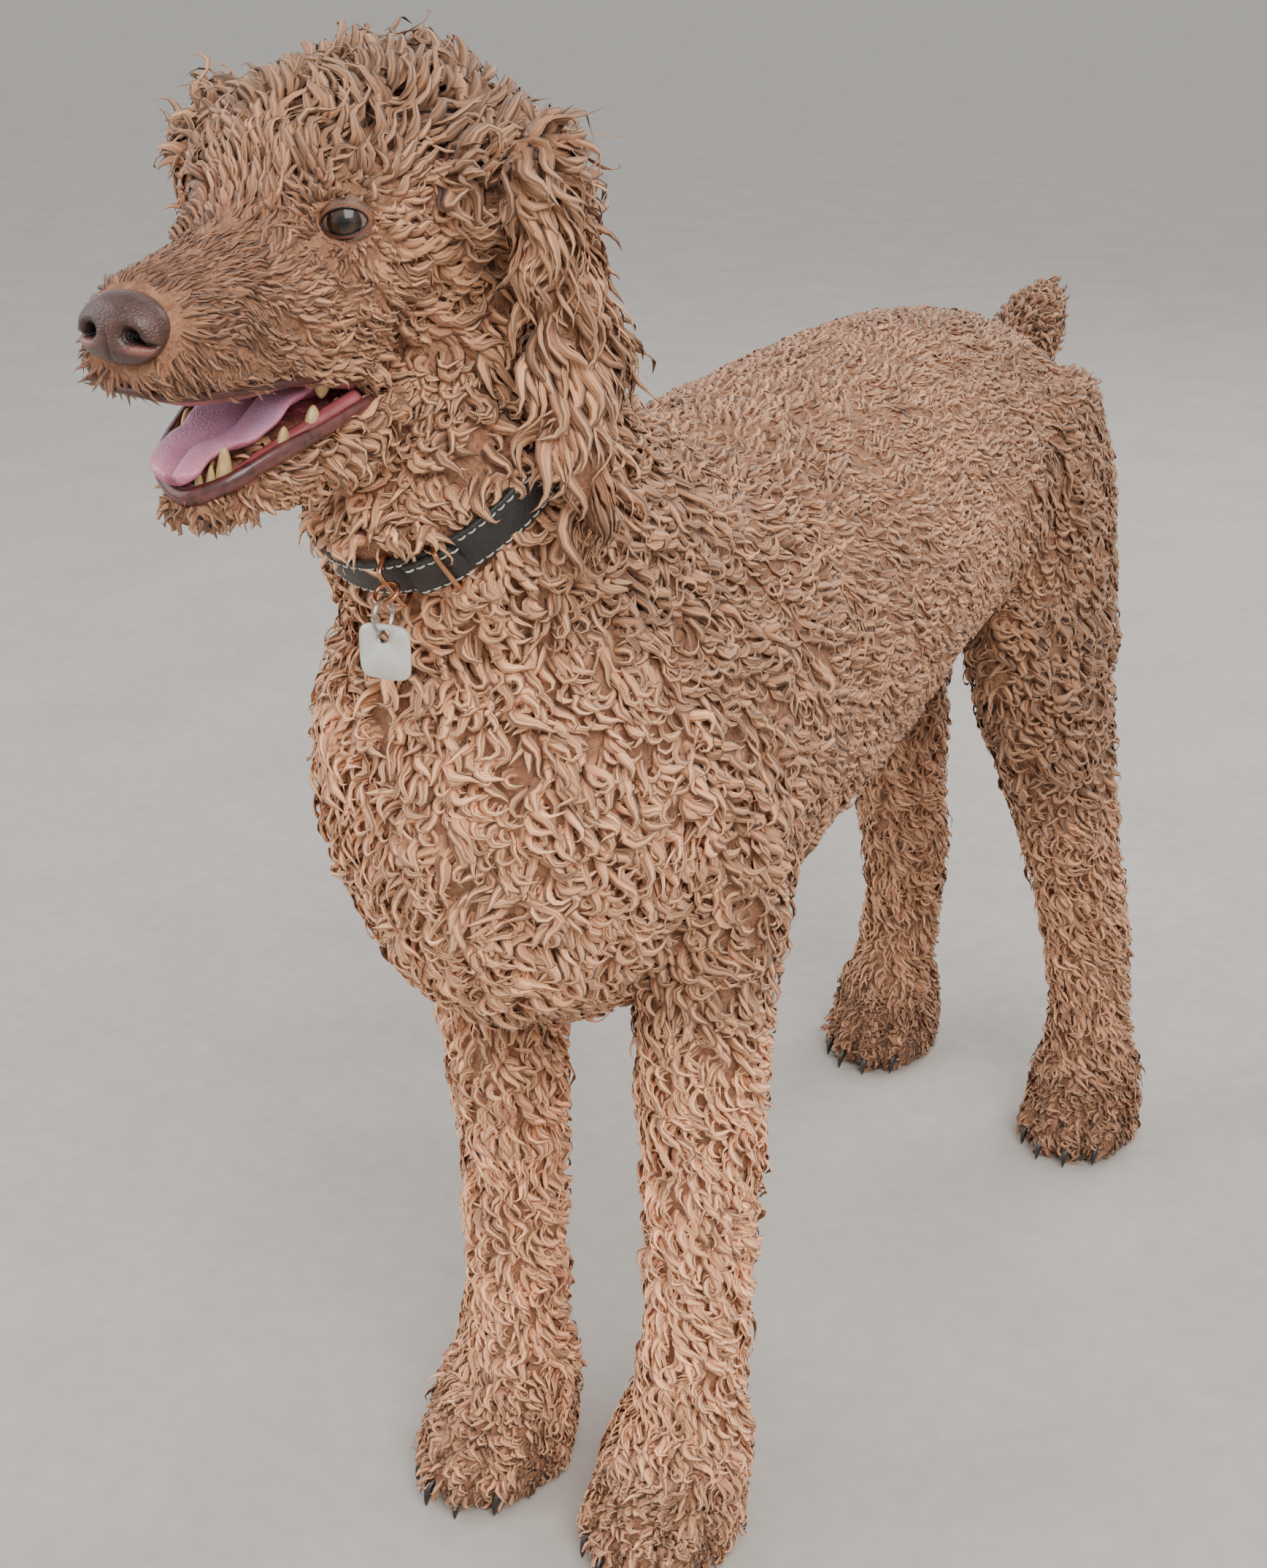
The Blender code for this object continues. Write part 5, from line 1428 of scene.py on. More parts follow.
    def build(self, maker: Maker, skin: Object, body: Body, finish: Finish) -> None:
        """Grow the whole coat and part it into pieces.

        Args:
            maker: Where the pieces are made.
            skin: The skin that the coat stands on.
            body: The body, for its ears.
            finish: The locks' finish.
        """
        roots = self.roots(skin, maker.shift, body)
        self.trim_at_strap(roots)
        self.trim_by_eyes(roots)
        self.part_toes(roots)
        middles = np.array(list(COAT_PARTS.values())) / 1000
        nearest = np.linalg.norm(roots.points[:, None] - middles[None], axis=2).argmin(axis=1)
        length, turn = roots.rows[:, LENGTH], roots.rows[:, TURN]
        short, long = length < self.short, length > self.long
        plain = long & (turn < self.plain_turn) & (length < self.plain_length)
        kinds = ((short, Locks(rings=3)), (~short & ~long, Locks(rings=5)),
                 (plain, Locks(rings=7)), (long & ~plain, Locks(rings=8)))
        LOG.info("coat: %d clumps", len(roots.points))
        for index, name in enumerate(COAT_PARTS):
            here = nearest == index
            grown = [locks.grow(roots.only(here & kind), self.seed + index)
                     for kind, locks in kinds if (here & kind).any()]
            maker.piece(name, joined(grown), finish, Slot.COAT)

    def part_toes(self, roots: Roots) -> None:
        """Shorten the locks on the toes, and darken those that part them.

        The parting is painted shade in the grooves between the toes and in a crease above them.

        Args:
            roots: The roots, whose numbers are changed.
        """
        across = np.array([toe[0] for toe in TOES])
        for pair, side in LEG_SHIFTS:
            spot = roots.points - np.array((*paw_middle(pair, side), 0.0))
            off = np.abs(spot[:, 0, None] - across).min(axis=1)
            near = ease(-spot[:, 1], -0.002, 0.014) * ease(0.046 - spot[:, 2], 0.0, 0.014)
            crease = bell(spot[:, 2] - 0.047, 0.006) * ease(-spot[:, 1], -0.006, 0.008)
            near, crease = (share * (np.abs(spot[:, 0]) < 0.05) * (spot[:, 1] > -0.08)
                            for share in (near, crease))
            groove = near * ease(off, 0.0040, 0.0074)
            roots.rows[:, LENGTH] *= ((1 - 0.18 * near) * (1 - 0.50 * groove)
                                      * (1 - 0.38 * crease))
            # Painted shade: the grooves and the crease are darkened.
            roots.rows[:, TONE] *= (1 - 0.48 * groove) * (1 - 0.28 * crease)

    def trim_at_strap(self, roots: Roots) -> None:
        """Shorten the locks that would hang over the strap.

        Args:
            roots: The roots, whose lengths are changed.
        """
        above = Collar().along(roots.points)
        near = (above > 0) & (above < 0.030) & by_collar(roots.points)
        roots.rows[:, LENGTH] *= np.where(near, 0.75 + 0.25 * ease(above, 0.006, 0.026), 1.0)

    def trim_by_eyes(self, roots: Roots) -> None:
        """Shorten the locks outside the left eye and comb them away, and let the right's hang.

        Args:
            roots: The roots, whose numbers are changed.
        """
        for side in SIDE_NAMES:
            seen, axes = seen_by_eye(roots.points, side)
            off = np.hypot(seen[:, 0], seen[:, 1])
            before = seen[:, 2] > -self.eye_depth
            inner = in_head(roots.points)[:, 0] * side < 0.019
            close = before & (off < 0.03) & ~inner & (side > 0)
            roots.rows[:, LENGTH] *= np.where(close, 0.45 + 0.55 * ease(off, 0.010, 0.026), 1.0)
            away = (seen[:, :2] / np.maximum(off, 1e-6)[:, None]) @ axes[:2]
            turn = np.where(close, 1 - ease(off, 0.010, 0.024), 0.0)[:, None]
            roots.rows[:, :3] = roots.rows[:, :3] * (1 - turn) + away * turn
            screen = (side < 0) & before & (off < 0.021)
            roots.rows[screen, LENGTH] = np.maximum(roots.rows[screen, LENGTH], 0.017)
            roots.rows[screen, LIFT] = 0.95


@dataclass(frozen=True)
class EyeFinish:
    """A wet brown eye: black pupil, amber iris with spokes, dark rim and dull white beyond."""

    pupil: tuple = shade(8, 6, 5)
    inner: tuple = shade(44, 29, 20)
    middle: tuple = shade(72, 54, 40)
    rim: tuple = shade(26, 17, 13)
    white: tuple = shade(150, 122, 108)

    def build(self) -> Material:
        """Return the material of the eyeballs."""
        g = Graph("eye_iris")
        polar = g.read("Polar")
        join = g.node("CombineXYZ", X=g.read("Cosine"), Y=g.read("Sine"),
                      Z=g.sum("MULTIPLY", polar, 0.4))
        spokes = g.noise(join.outputs[0], 14.0, 3.0)
        colour = g.ramp(polar, (
            (0.0, self.pupil), (0.17, self.pupil), (0.20, self.inner), (0.34, self.middle),
            (0.47, self.inner), (0.53, self.rim), (0.60, self.rim), (0.68, self.white),
            (1.0, self.white)))
        colour = g.mix(0.5, colour, g.mix(g.span(spokes, 0.35, 0.65), self.rim, colour))
        g.surface(Base_Color=colour, Roughness=0.30, Specular_IOR_Level=0.20,
                  Coat_Weight=0.7, Coat_Roughness=0.03)
        return g.material


@dataclass(frozen=True)
class LidFinish:
    """Lids: a dark wet margin, pinker below, and skin that darkens to the coat."""

    margin: tuple = shade(34, 18, 14)
    below: tuple = shade(176, 114, 100)
    outer: tuple = shade(150, 102, 76)

    def build(self) -> Material:
        """Return the material of the lids."""
        g = Graph("eyelid_skin")
        away = g.read("Away")
        near = g.mix(g.read("Lower"), self.outer, self.below)
        skin = g.mix(g.span(away, 0.25, 0.6), near, self.outer)
        grain = g.noise(g.place(), 700.0, 3.0)
        g.surface(Base_Color=g.mix(g.span(away, 0.08, 0.26), self.margin, skin),
                  Roughness=g.span(away, 0.1, 0.3, 0.25, 0.62))
        g.bump(grain, 0.0005)
        return g.material


@dataclass
class Eyes:
    """Both eyeballs with their lids."""

    opening: tuple = (0.0088, 0.0054, 0.0048)
    # Lid section from its margin outwards and back below: distance out, and height along the gaze.
    section: Rows = (
        (-0.0002, 0.0002), (0, 0.0005), (0.0003, 0.0006), (0.0006, 0.0004), (0.001, -0.0002),
        (0.0014, -0.0014), (0.0018, -0.0032), (0.0021, -0.0056), (0.0016, -0.0064),
        (0.001, -0.0038), (0.0004, -0.0014),
    )

    def ball(self, side: int) -> Shape:
        """Shape an eyeball: a sphere whose front bulges by a bell of the angle from the gaze.

        Args:
            side: 1 for the left eye, -1 for the right.

        Returns:
            The ball, with the angle from its gaze and its place round it.
        """
        axes, centre = eye_frame(side)
        polar = np.linspace(0.02, pi - 0.02, 72)[:, None]
        c, s = ring(72)
        size = EYE_RADIUS + 0.0006 * bell(polar, 0.45) - 0.0001
        local = spread(size * np.sin(polar) * c, size * np.sin(polar) * s, size * np.cos(polar))
        values = {"Polar": polar + 0 * c, "Cosine": c + 0 * polar, "Sine": s + 0 * polar}
        return closed(centre + local @ axes, values)

    def lids(self, side: int) -> Shape:
        """Carry the lids' section round an almond opening on the eyeball.

        Args:
            side: 1 for the left eye, -1 for the right.

        Returns:
            The lids, with how far each point is from the margin and whether it is below.
        """
        axes, centre = eye_frame(side)
        c, s = ring(72)
        wide, high, low = self.opening
        x = wide * c
        y = np.where(s > 0, high, low) * s * np.abs(s) ** 0.15 - 0.0010 * c * side
        out = unit(np.stack((x / wide ** 2, y / high ** 2), 1))
        section = smooth_rows(self.section, 24)
        away, lift = section[:, 0], section[:, 1]
        depth = np.sqrt(np.maximum((EYE_RADIUS + 0.0003) ** 2 - x ** 2 - y ** 2, 0))
        local = spread(x[:, None] + out[:, 0, None] * away, y[:, None] + out[:, 1, None] * away,
                       depth[:, None] + lift)
        shape = looped(centre + local @ axes)
        share = np.clip(away / 0.004, 0, 1)
        shape.values = {"Away": np.tile(share, len(c)),
                        "Lower": np.repeat(ease(-s, 0.0, 0.6), len(away))}
        return shape

    def build(self, maker: Maker) -> None:
        """Make both eyes."""
        for side, name in SIDE_NAMES.items():
            maker.piece(f"eyeball_{name}", self.ball(side), EyeFinish(), Slot.EYE, f"eye_{name}")
            maker.piece(f"eyelids_{name}", self.lids(side), LidFinish(), Slot.COAT)


@dataclass(frozen=True)
class NoseFinish:
    """Liver-brown nose leather: cobbled, moist, pinker inside the nostrils' lower rims, painted
    shade in the nostrils.
    """

    leather: tuple = shade(88, 55, 45)
    dark: tuple = shade(62, 36, 29)
    pink: tuple = shade(176, 112, 98)
    # hole is painted shade: near black in the nostrils' pits and slits.
    hole: tuple = shade(14, 7, 6)

    def build(self) -> Material:
        """Return the material of the nose."""
        g = Graph("nose_leather")
        place = g.place()
        cobble = g.cells(place, 900.0)
        broad = g.span(g.noise(place, 160.0), 0.35, 0.65)
        colour = g.mix(g.read("Pink"), g.mix(broad, self.dark, self.leather), self.pink)
        g.surface(Base_Color=g.mix(g.read("Pit"), colour, self.hole), Roughness=0.42,
                  Coat_Weight=0.35, Coat_Roughness=0.2)
        g.bump(cobble, 0.0005, 0.8)
        return g.material


@dataclass
class Nose:
    """The nose: a broad egg, flattened in front, with comma nostrils and a groove."""

    size: tuple = (0.0188, 0.0132, 0.0135)

    def shape(self) -> Shape:
        """Return the nose surface: an egg pressed in by bells at the nostrils and the groove."""
        polar = np.linspace(0.03, pi - 0.03, 110)[:, None]
        c, s = ring(130)
        x = np.sin(polar) * c * self.size[0]
        z = np.sin(polar) * s * self.size[2]
        y = np.cos(polar) * self.size[1] + 0 * c
        front = ease(y, 0.0, 0.006)
        y = np.where(y > 0, self.size[1] * (y / self.size[1]) ** 0.75, y)
        x = x * (1 + 0.08 * ease(z, 0.002, -0.008) * front)
        side = np.abs(x)
        pit = bell(np.hypot((side - 0.0092) / 0.0033, (z + 0.0008) / 0.0028), 1.0)
        slit_line = -0.0022 - (side - 0.0092) * 0.12
        slit = bell(np.hypot((side - 0.0140) / 0.0042, (z - slit_line) / 0.0010), 1.0)
        groove = bell(x, 0.0008) * ease(-z, -0.001, 0.003)
        wing = bell(np.hypot((side - 0.0125) / 0.0055, (z - 0.0035) / 0.0045), 1.0)
        press = (0.0075 * pit + 0.0045 * slit + 0.0012 * groove) * front
        y = y - press + 0.0007 * wing * front
        z = z - 0.0010 * ease(side, 0.004, 0.016) * front
        pink = bell(np.hypot((side - 0.0125) / 0.0055, (z + 0.0058) / 0.0016), 1.0) * front
        # The nostrils' pits and slits carry painted shade, near black in the finish.
        values = {"Pit": np.clip(1.35 * pit + 0.9 * slit, 0, 1) * front, "Pink": pink * 0.8}
        return closed(on_head(spread(x, y, z) + np.array(NOSE_CENTRE)), values)

    def build(self, maker: Maker) -> None:
        """Make the nose."""
        maker.piece("nose_leather", self.shape(), NoseFinish(), Slot.NOSE, "nose")


@dataclass
class Mouth:
    """Lips, gums, teeth and tongue."""

    # Tongue: forward, height, half width, half thickness and how far it lies to the left.
    tongue: Rows = (
        (-0.028, -0.076, 0.017, 0.005, 0), (-0.004, -0.07, 0.02, 0.005, 0.001),
        (0.02, -0.0705, 0.0205, 0.0042, 0.0045), (0.04, -0.082, 0.0185, 0.0036, 0.0045),
        (0.053, -0.0888, 0.0136, 0.0034, -0.0034), (0.0665, -0.0968, 0.0124, 0.0034, -0.002),
    )
    # Teeth: side, forward, root height, length, radius and how long the crown is fore and aft.
    lower_teeth: Rows = (
        (0.0034, 0.056, -0.1, 0.006, 0.002, 1), (0.008, 0.0545, -0.0985, 0.007, 0.0022, 1),
        (0.012, 0.0515, -0.0955, 0.012, 0.0032, 1.2), (0.0232, 0.029, -0.0845, 0.007, 0.0028, 1.5),
        (0.0262, 0.014, -0.079, 0.0085, 0.0033, 1.6), (0.0278, 0, -0.075, 0.006, 0.0031, 1.6),
    )
    upper_teeth: Rows = (
        (0.0215, 0.034, -0.059, 0.004, 0.0022, 1.4), (0.023, 0.02, -0.059, 0.0045, 0.0026, 1.6),
        (0.0245, 0.006, -0.06, 0.0095, 0.0036, 1.7), (0.0255, -0.005, -0.061, 0.006, 0.0028, 1.5),
    )
    # The tongue covers the right side's front teeth ahead of this.
    covered: float = 0.050
    upper_skin: Finish = PlainFinish("upper_lip_skin", (88, 44, 34), (58, 28, 22), 0.45, gloss=0.3)
    lower_skin: Finish = PlainFinish("lower_lip_skin", (120, 62, 56), (60, 28, 24), 0.36,
                                     gloss=0.55)
    gum: Finish = PlainFinish("gum_flesh", (176, 92, 98), (128, 56, 60), 0.35, 220.0, gloss=0.6,
                              soft=0.15)
    ivory: Finish = PlainFinish("tooth_ivory", (226, 200, 148), (196, 156, 96), 0.28, 240.0,
                                0.0001, gloss=0.5)

    @staticmethod
    def line(path: Rows, inward: float = 0.0, rise: float = 0.0) -> Array:
        """Lay a line along a lip.

        Args:
            path: The lip from the left corner to the front, in the head frame.
            inward: How far the line is moved towards the mouth's middle.
            rise: How far it is raised.

        Returns:
            Points from the left corner round the front to the right corner, in the stance.
        """
        left = np.array(path)
        right = left[-2::-1] * np.array((-1, 1, 1))
        line = smooth_rows(np.concatenate([left, right]), 72)
        middle = np.array((0.0, 0.012, 0.0))
        inward_way = unit((middle - line) * np.array((1, 1, 0)))
        return on_head(line + inward_way * inward + np.array((0, 0, rise)))

    def lip(self, path: Rows, wide: float, deep: float) -> Shape:
        """Make a lip: an oval tube that thins at the corners and ripples a little.

        Args:
            path: The lip's line.
            wide: Its half width.
            deep: Its half height.

        Returns:
            The lip.
        """
        line = self.line(path)
        t = np.linspace(0, 1, len(line))
        size = (0.55 + 0.45 * np.sin(pi * t) ** 0.5) * (1 + 0.10 * np.sin(38 * t) * np.sin(9 * t))
        return tube(line, HEAD[2], wide * size, deep * size, 14)

    def tooth(self, row: tuple, side: int, way: int) -> Shape:
        """Make a tooth whose oval section tapers as (1 - t to the 2.2) to the 0.6.

        Args:
            row: Its row of the teeth's table.
            side: 1 for the left, -1 for the right.
            way: 1 for a crown that stands up, -1 for one that hangs.

        Returns:
            The tooth.
        """
        x, y, z, length, radius, fore = row
        t = np.linspace(0, 0.985, 14)[:, None]
        lean = np.array((side * 0.0006, 0.0012, 0)) * t ** 2 * (2.0 if length > 0.012 else 0.4)
        start = np.array((side * x, y, z - way * 0.005))
        line = on_head(start + np.array((0, 0, way * (length + 0.005))) * t + lean)
        size = radius * (1 - t[:, 0] ** 2.2) ** 0.6
        return tube(line, HEAD[1], size, size * fore)

    def tongue_shape(self) -> Shape:
        """Return the tongue: a flat oval section with a groove along the top and raised edges."""
        table = smooth_rows(self.tongue, 70)
        ahead, height, wide, deep, aside = (part[:, None] for part in table.T)
        run = unit(np.gradient(table[:, :2], axis=0))
        c, s = ring(48)
        t = np.linspace(0, 1, len(table))[:, None]
        wide = wide * np.sqrt(1 - ease(t, 0.86, 1.04) ** 2 * 0.9)
        x = wide * squared(c, 0.8)
        upper = np.clip(s, 0, 1)
        lift = deep * s + 0.0042 * (x / 0.02) ** 2 - 0.0034 * bell(x, 0.0016) * upper
        lift = lift + 0.0005 * np.sin(t * 46) * (x / 0.02) ** 2
        local = spread(x + aside, ahead - run[:, 1, None] * lift, height + run[:, 0, None] * lift)
        return closed(on_head(local), {"Tip": t + 0 * c, "Top": upper + 0 * t})

    def build(self, maker: Maker) -> None:
        """Make the mouth's pieces."""
        maker.piece("upper_lip", self.lip(UPPER_LIP, 0.0018, 0.0018), self.upper_skin, Slot.COAT)
        maker.piece("lower_lip", self.lip(LOWER_LIP, 0.0027, 0.0037), self.lower_skin, Slot.COAT)
        gums = joined([tube(self.line(LOWER_LIP, 0.0062, -0.0002), HEAD[2], 0.0038, 0.0042),
                       tube(self.line(UPPER_LIP, 0.0105, -0.0015), HEAD[2], 0.0036, 0.0030)])
        maker.piece("gums", gums, self.gum, Slot.TONGUE)
        teeth = [self.tooth(row, side, way) for side in SIDE_NAMES
                 for rows, way in ((self.lower_teeth, 1), (self.upper_teeth, -1)) for row in rows
                 if not (side < 0 and row[1] > self.covered)]
        maker.piece("teeth", joined(teeth), self.ivory, Slot.TAG)
        maker.piece("tongue_flesh", self.tongue_shape(), TongueFinish(), Slot.TONGUE, "tongue")


@dataclass(frozen=True)
class TongueFinish:
    """Lilac-pink tongue, rosier at its tip and edges, with fine buds and a wet gloss."""

    top: tuple = shade(202, 160, 186)
    tip: tuple = shade(226, 150, 176)
    under: tuple = shade(196, 112, 136)

    def build(self) -> Material:
        """Return the material of the tongue."""
        g = Graph("tongue_flesh")
        place = g.place()
        buds = g.cells(place, 1100.0)
        broad = g.span(g.noise(place, 120.0), 0.35, 0.65, 0.0, 0.35)
        colour = g.mix(g.span(g.read("Tip"), 0.55, 1.0), self.top, self.tip)
        colour = g.mix(broad, colour, self.under)
        colour = g.mix(g.span(g.read("Top"), 0.0, 0.5, 0.8, 0.0), colour, self.under)
        g.surface(Base_Color=colour, Roughness=0.36, Subsurface_Weight=0.25,
                  Subsurface_Scale=0.004, Coat_Weight=0.4, Coat_Roughness=0.15)
        g.bump(buds, 0.0004, 0.7)
        return g.material


@dataclass
class Claws:
    """The sixteen claws, four on each paw."""

    length: float = 0.0095
    radius: float = 0.0036
    # How far the root stands ahead of the toe's middle, and its height.
    root_ahead: float = 0.0150
    root_height: float = 0.013675
    horn: Finish = PlainFinish("claw_horn", (26, 22, 20), (48, 40, 36), 0.34, 500.0, gloss=0.3)

    def build(self, maker: Maker) -> None:
        """Make a curved claw in front of each toe: a tube that bows up by sin(pi t)."""
        t = np.linspace(0, 1, 12)[:, None]
        for pair, side in LEG_SHIFTS:
            x, y = paw_middle(pair, side)
            for number, (across, ahead) in enumerate(TOES, 1):
                root = np.array((x + across, y - ahead - self.root_ahead, self.root_height))
                drop = root[2] - self.radius * 0.3
                line = root + np.array((0, -self.length, -drop)) * t
                line = line + np.array((0, -0.002, 0.0025)) * np.sin(pi * t)
                line = np.concatenate([line[:1] + np.array((0, 0.006, 0.001)), line])
                size = self.radius * np.append(1.0, (1 - t[:, 0] ** 1.8) ** 0.7 * 0.97 + 0.03)
                line[:, 2] = np.maximum(line[:, 2], size * 0.9)
                name = f"{pair}_{SIDE_NAMES[side]}_{number}"
                shape = tube(line, np.array((0, -0.5, 1.0)), size * 0.82, size)
                maker.piece(f"nail_{name}", shape, self.horn, Slot.CLAW, f"claw_{name}")


@dataclass(frozen=True)
class Collar:
    """A stitched leather strap round the neck, with its slides, rings and blank tag."""

    centre: tuple = (0.0, -0.276, 0.617)
    lean: float = radians(38)
    roll: float = radians(9)
    half_width: float = 0.061
    half_depth: float = 0.070
    slides: tuple = (0.16, 0.53)
    slide_out: float = 0.01
    ring_radius: float = 0.0054
    ring_raise: float = 0.003
    split_radius: float = 0.0075
    tag_size: float = 0.024
    tag_thickness: float = 0.0024
    hole_drop: float = 0.005
    hole_radius: float = 0.0026
    stitch: float = 0.0048
    thread_radius: float = 0.00042
    # How far the stitches stand from the strap's edge, and from that of its end.
    hem: float = 0.0022
    end_hem: float = 0.003
    # The end lies this far off the strap.
    end_gap: float = 0.0003
    leather: Finish = PlainFinish("collar_leather", (30, 28, 27), (54, 50, 47), 0.48, 480.0,
                                  0.0006)
    thread: Finish = PlainFinish("stitch_thread", (216, 210, 198), (178, 172, 160), 0.8, 1500.0)
    copper: Finish = PlainFinish("copper_plate", (212, 156, 120), (172, 118, 88), 0.28, 260.0,
                                 0.0001, metal=1.0)
    steel: Finish = PlainFinish("ring_steel", (196, 196, 194), (150, 150, 148), 0.22, 300.0,
                                0.0001, metal=1.0)
    enamel: Finish = PlainFinish("tag_enamel", (222, 220, 212), (198, 194, 184), 0.30, 180.0,
                                 0.0001, gloss=0.4)

    def axes(self) -> Array:
        """Return the collar's left, back and up-the-neck directions as rows."""
        level = np.array((cos(HEAD_YAW), sin(HEAD_YAW), 0.0))
        back = np.array((-level[1] * cos(self.lean), level[0] * cos(self.lean), sin(self.lean)))
        side = level * cos(self.roll) + np.cross(level, back) * sin(self.roll)
        return np.array((side, back, np.cross(side, back)))

    def along(self, points: Array) -> Array:
        """Return how far points lie up the neck from the strap's middle."""
        return (points - np.array(self.centre)) @ self.axes()[2]

    def spot(self, turn: Array | float, out: Array | float = 0.0,
             along: Array | float = 0.0) -> Array:
        """Place points about the neck.

        Args:
            turn: Angle from the throat to the left.
            out: Distance out of the strap's inner face.
            along: Distance up the neck.

        Returns:
            The points in the stance.
        """
        turn, out, along = (part[..., None] for part in np.broadcast_arrays(
            np.asarray(turn, float), out, along))
        side, back, up = self.axes()
        spoke = side * np.sin(turn) * self.half_width - back * np.cos(turn) * self.half_depth
        away = side * np.sin(turn) / self.half_width - back * np.cos(turn) / self.half_depth
        return np.array(self.centre) + spoke + unit(away) * out + up * along

    def section(self, half: float) -> tuple[Array, Array]:
        """Return the section of leather of a half width, a rounded oblong: out and along."""
        c, s = ring(28)
        return STRAP_THICKNESS / 2 * (1 + squared(c, 0.5)), half * squared(s, 0.22)

    def strap(self) -> Shape:
        """Return the strap: its section carried once round the neck."""
        out, along = self.section(STRAP_WIDTH / 2)
        turn = np.linspace(0, 2 * pi, 180, endpoint=False)
        return looped(self.spot(turn[:, None], out[None], along[None]))

    def end(self) -> Shape:
        """Return the strap's rounded free end, which lies on it between the slides."""
        start, stop = self.slides[0] + 0.13, self.slides[1] + 0.12
        out, along = self.section(STRAP_WIDTH / 2 - 0.001)
        t = np.linspace(0, 1, 40)[:, None]
        narrow = np.sqrt(np.maximum(1 - ease(t, 0.80, 1.02) ** 2, 0.02))
        return closed(self.spot(start + (stop - start) * t, out + STRAP_THICKNESS + self.end_gap,
                                along * narrow))

    def stitches(self) -> Shape:
        """Return the stitches: short threads that arch out of the leather along both edges."""
        around = 2 * pi * (self.half_width + self.half_depth) / 2
        count = int(around / self.stitch)
        bow = np.linspace(-1, 1, 5)
        made = []
        for edge in (-1, 1):
            for number in range(count):
                turn = 2 * pi * (number + 0.5) / count
                covered = self.slides[0] + 0.10 < turn < self.slides[1] + 0.14
                out = 2 * STRAP_THICKNESS + self.end_gap if covered else STRAP_THICKNESS
                hem = self.end_hem if covered else self.hem
                line = self.spot(turn + bow * 0.0017 / 0.065, out + 0.0004 - 0.0007 * bow ** 2,
                                 edge * (STRAP_WIDTH / 2 - hem))
                made.append(tube(line, self.axes()[2], self.thread_radius, self.thread_radius, 6))
        return joined(made)

    def ahead(self, turn: float) -> Array:
        """Return the direction along the strap at a turn."""
        return unit(self.spot(turn + 0.01) - self.spot(turn - 0.01))

    def slide(self, turn: float) -> Shape:
        """Bend a wire to a rounded oblong round the strap.

        Args:
            turn: Where it sits, from the throat to the left.

        Returns:
            The slide.
        """
        c, s = ring(64)
        half = STRAP_WIDTH / 2 + 0.0014
        middle, reach = (self.slide_out - 0.0014) / 2, (self.slide_out + 0.0006) / 2
        path = self.spot(turn, middle + reach * squared(c, 0.35), half * squared(s, 0.35))
        return tube(path, self.ahead(turn), 0.0011, 0.0012, wrap=True)

    def hardware(self) -> dict[str, Array]:
        """Return the rings' and the tag hole's middles, and the directions that they hang in."""
        turn = self.slides[0]
        down = np.array((0, 0, -1.0))
        side = self.ahead(turn)
        away = unit(self.spot(turn, 1.0) - self.spot(turn))
        face = unit(np.cross(down, side))
        face = face if face @ away > 0 else -face
        ring_at = self.spot(turn, self.slide_out + self.ring_radius - 0.0027, self.ring_raise)
        split_at = ring_at + away * self.ring_radius + down * (self.split_radius - 0.0024)
        hole = split_at + down * (self.split_radius + 0.0015)
        return {"down": down, "side": side, "away": away, "face": face,
                "width": np.cross(down, face), "ring": ring_at, "split": split_at, "hole": hole}

    def d_ring(self) -> Shape:
        """Return the ring under the front slide: a circle flattened towards the strap."""
        at = self.hardware()
        c, s = ring(48)
        reach = self.ring_radius * np.where(s < 0, 0.92, 1.0)
        line = (at["ring"] + np.outer(c * self.ring_radius * 1.05, at["side"])
                + np.outer(squared(s, 0.85) * reach, at["away"]))
        return tube(line, np.cross(at["side"], at["away"]), 0.0010, 0.0010, wrap=True)

    def split_ring(self) -> Shape:
        """Return the split ring: flat wire wound twice, one turn beside the other."""
        at = self.hardware()
        turn = np.linspace(0, 4 * pi, 110)
        normal = -at["width"]
        line = (at["split"] + np.outer(np.cos(turn) * self.split_radius, at["face"])
                + np.outer(np.sin(turn) * self.split_radius, at["down"])
                + np.outer((turn / (4 * pi) - 0.5) * 0.0013, normal))
        return tube(line, normal, 0.0006, 0.0005, 10)

    def tag(self) -> Shape:
        """Return the blank tag: a plate between a rounded square and its hole."""
        at = self.hardware()
        c, s = ring(96)
        half = self.tag_size / 2
        # Inwards from the edge: share of the way to the hole, and level in half thicknesses.
        share, level = (part[:, None] for part in np.array((
            (0.0, 0.0), (0.01, 0.62), (0.035, 1.0), (0.5, 1.0), (0.97, 1.0), (1.0, 0.6),
            (1.0, -0.6), (0.97, -1.0), (0.5, -1.0), (0.035, -1.0), (0.01, -0.62))).T)
        x = half * squared(c, 0.42) * (1 - share) + self.hole_radius * c * share
        hole_y = self.hole_drop - half + self.hole_radius * s
        y = half * squared(s, 0.42) * (1 - share) + hole_y * share
        middle = at["hole"] + at["down"] * (half - self.hole_drop)
        local = spread(x, y, level * self.tag_thickness / 2)
        return looped(middle + local @ np.array((at["width"], at["down"], at["face"])))

    def eyelet(self) -> Shape:
        """Return the eyelet: a rolled rim in the tag's hole."""
        at = self.hardware()
        c, s = ring(40)
        circle = np.outer(c, at["width"]) + np.outer(s, at["down"])
        return tube(at["hole"] + circle * (self.hole_radius + 0.0003), at["face"], 0.0005,
                    self.tag_thickness / 2 + 0.0003, 10, wrap=True)

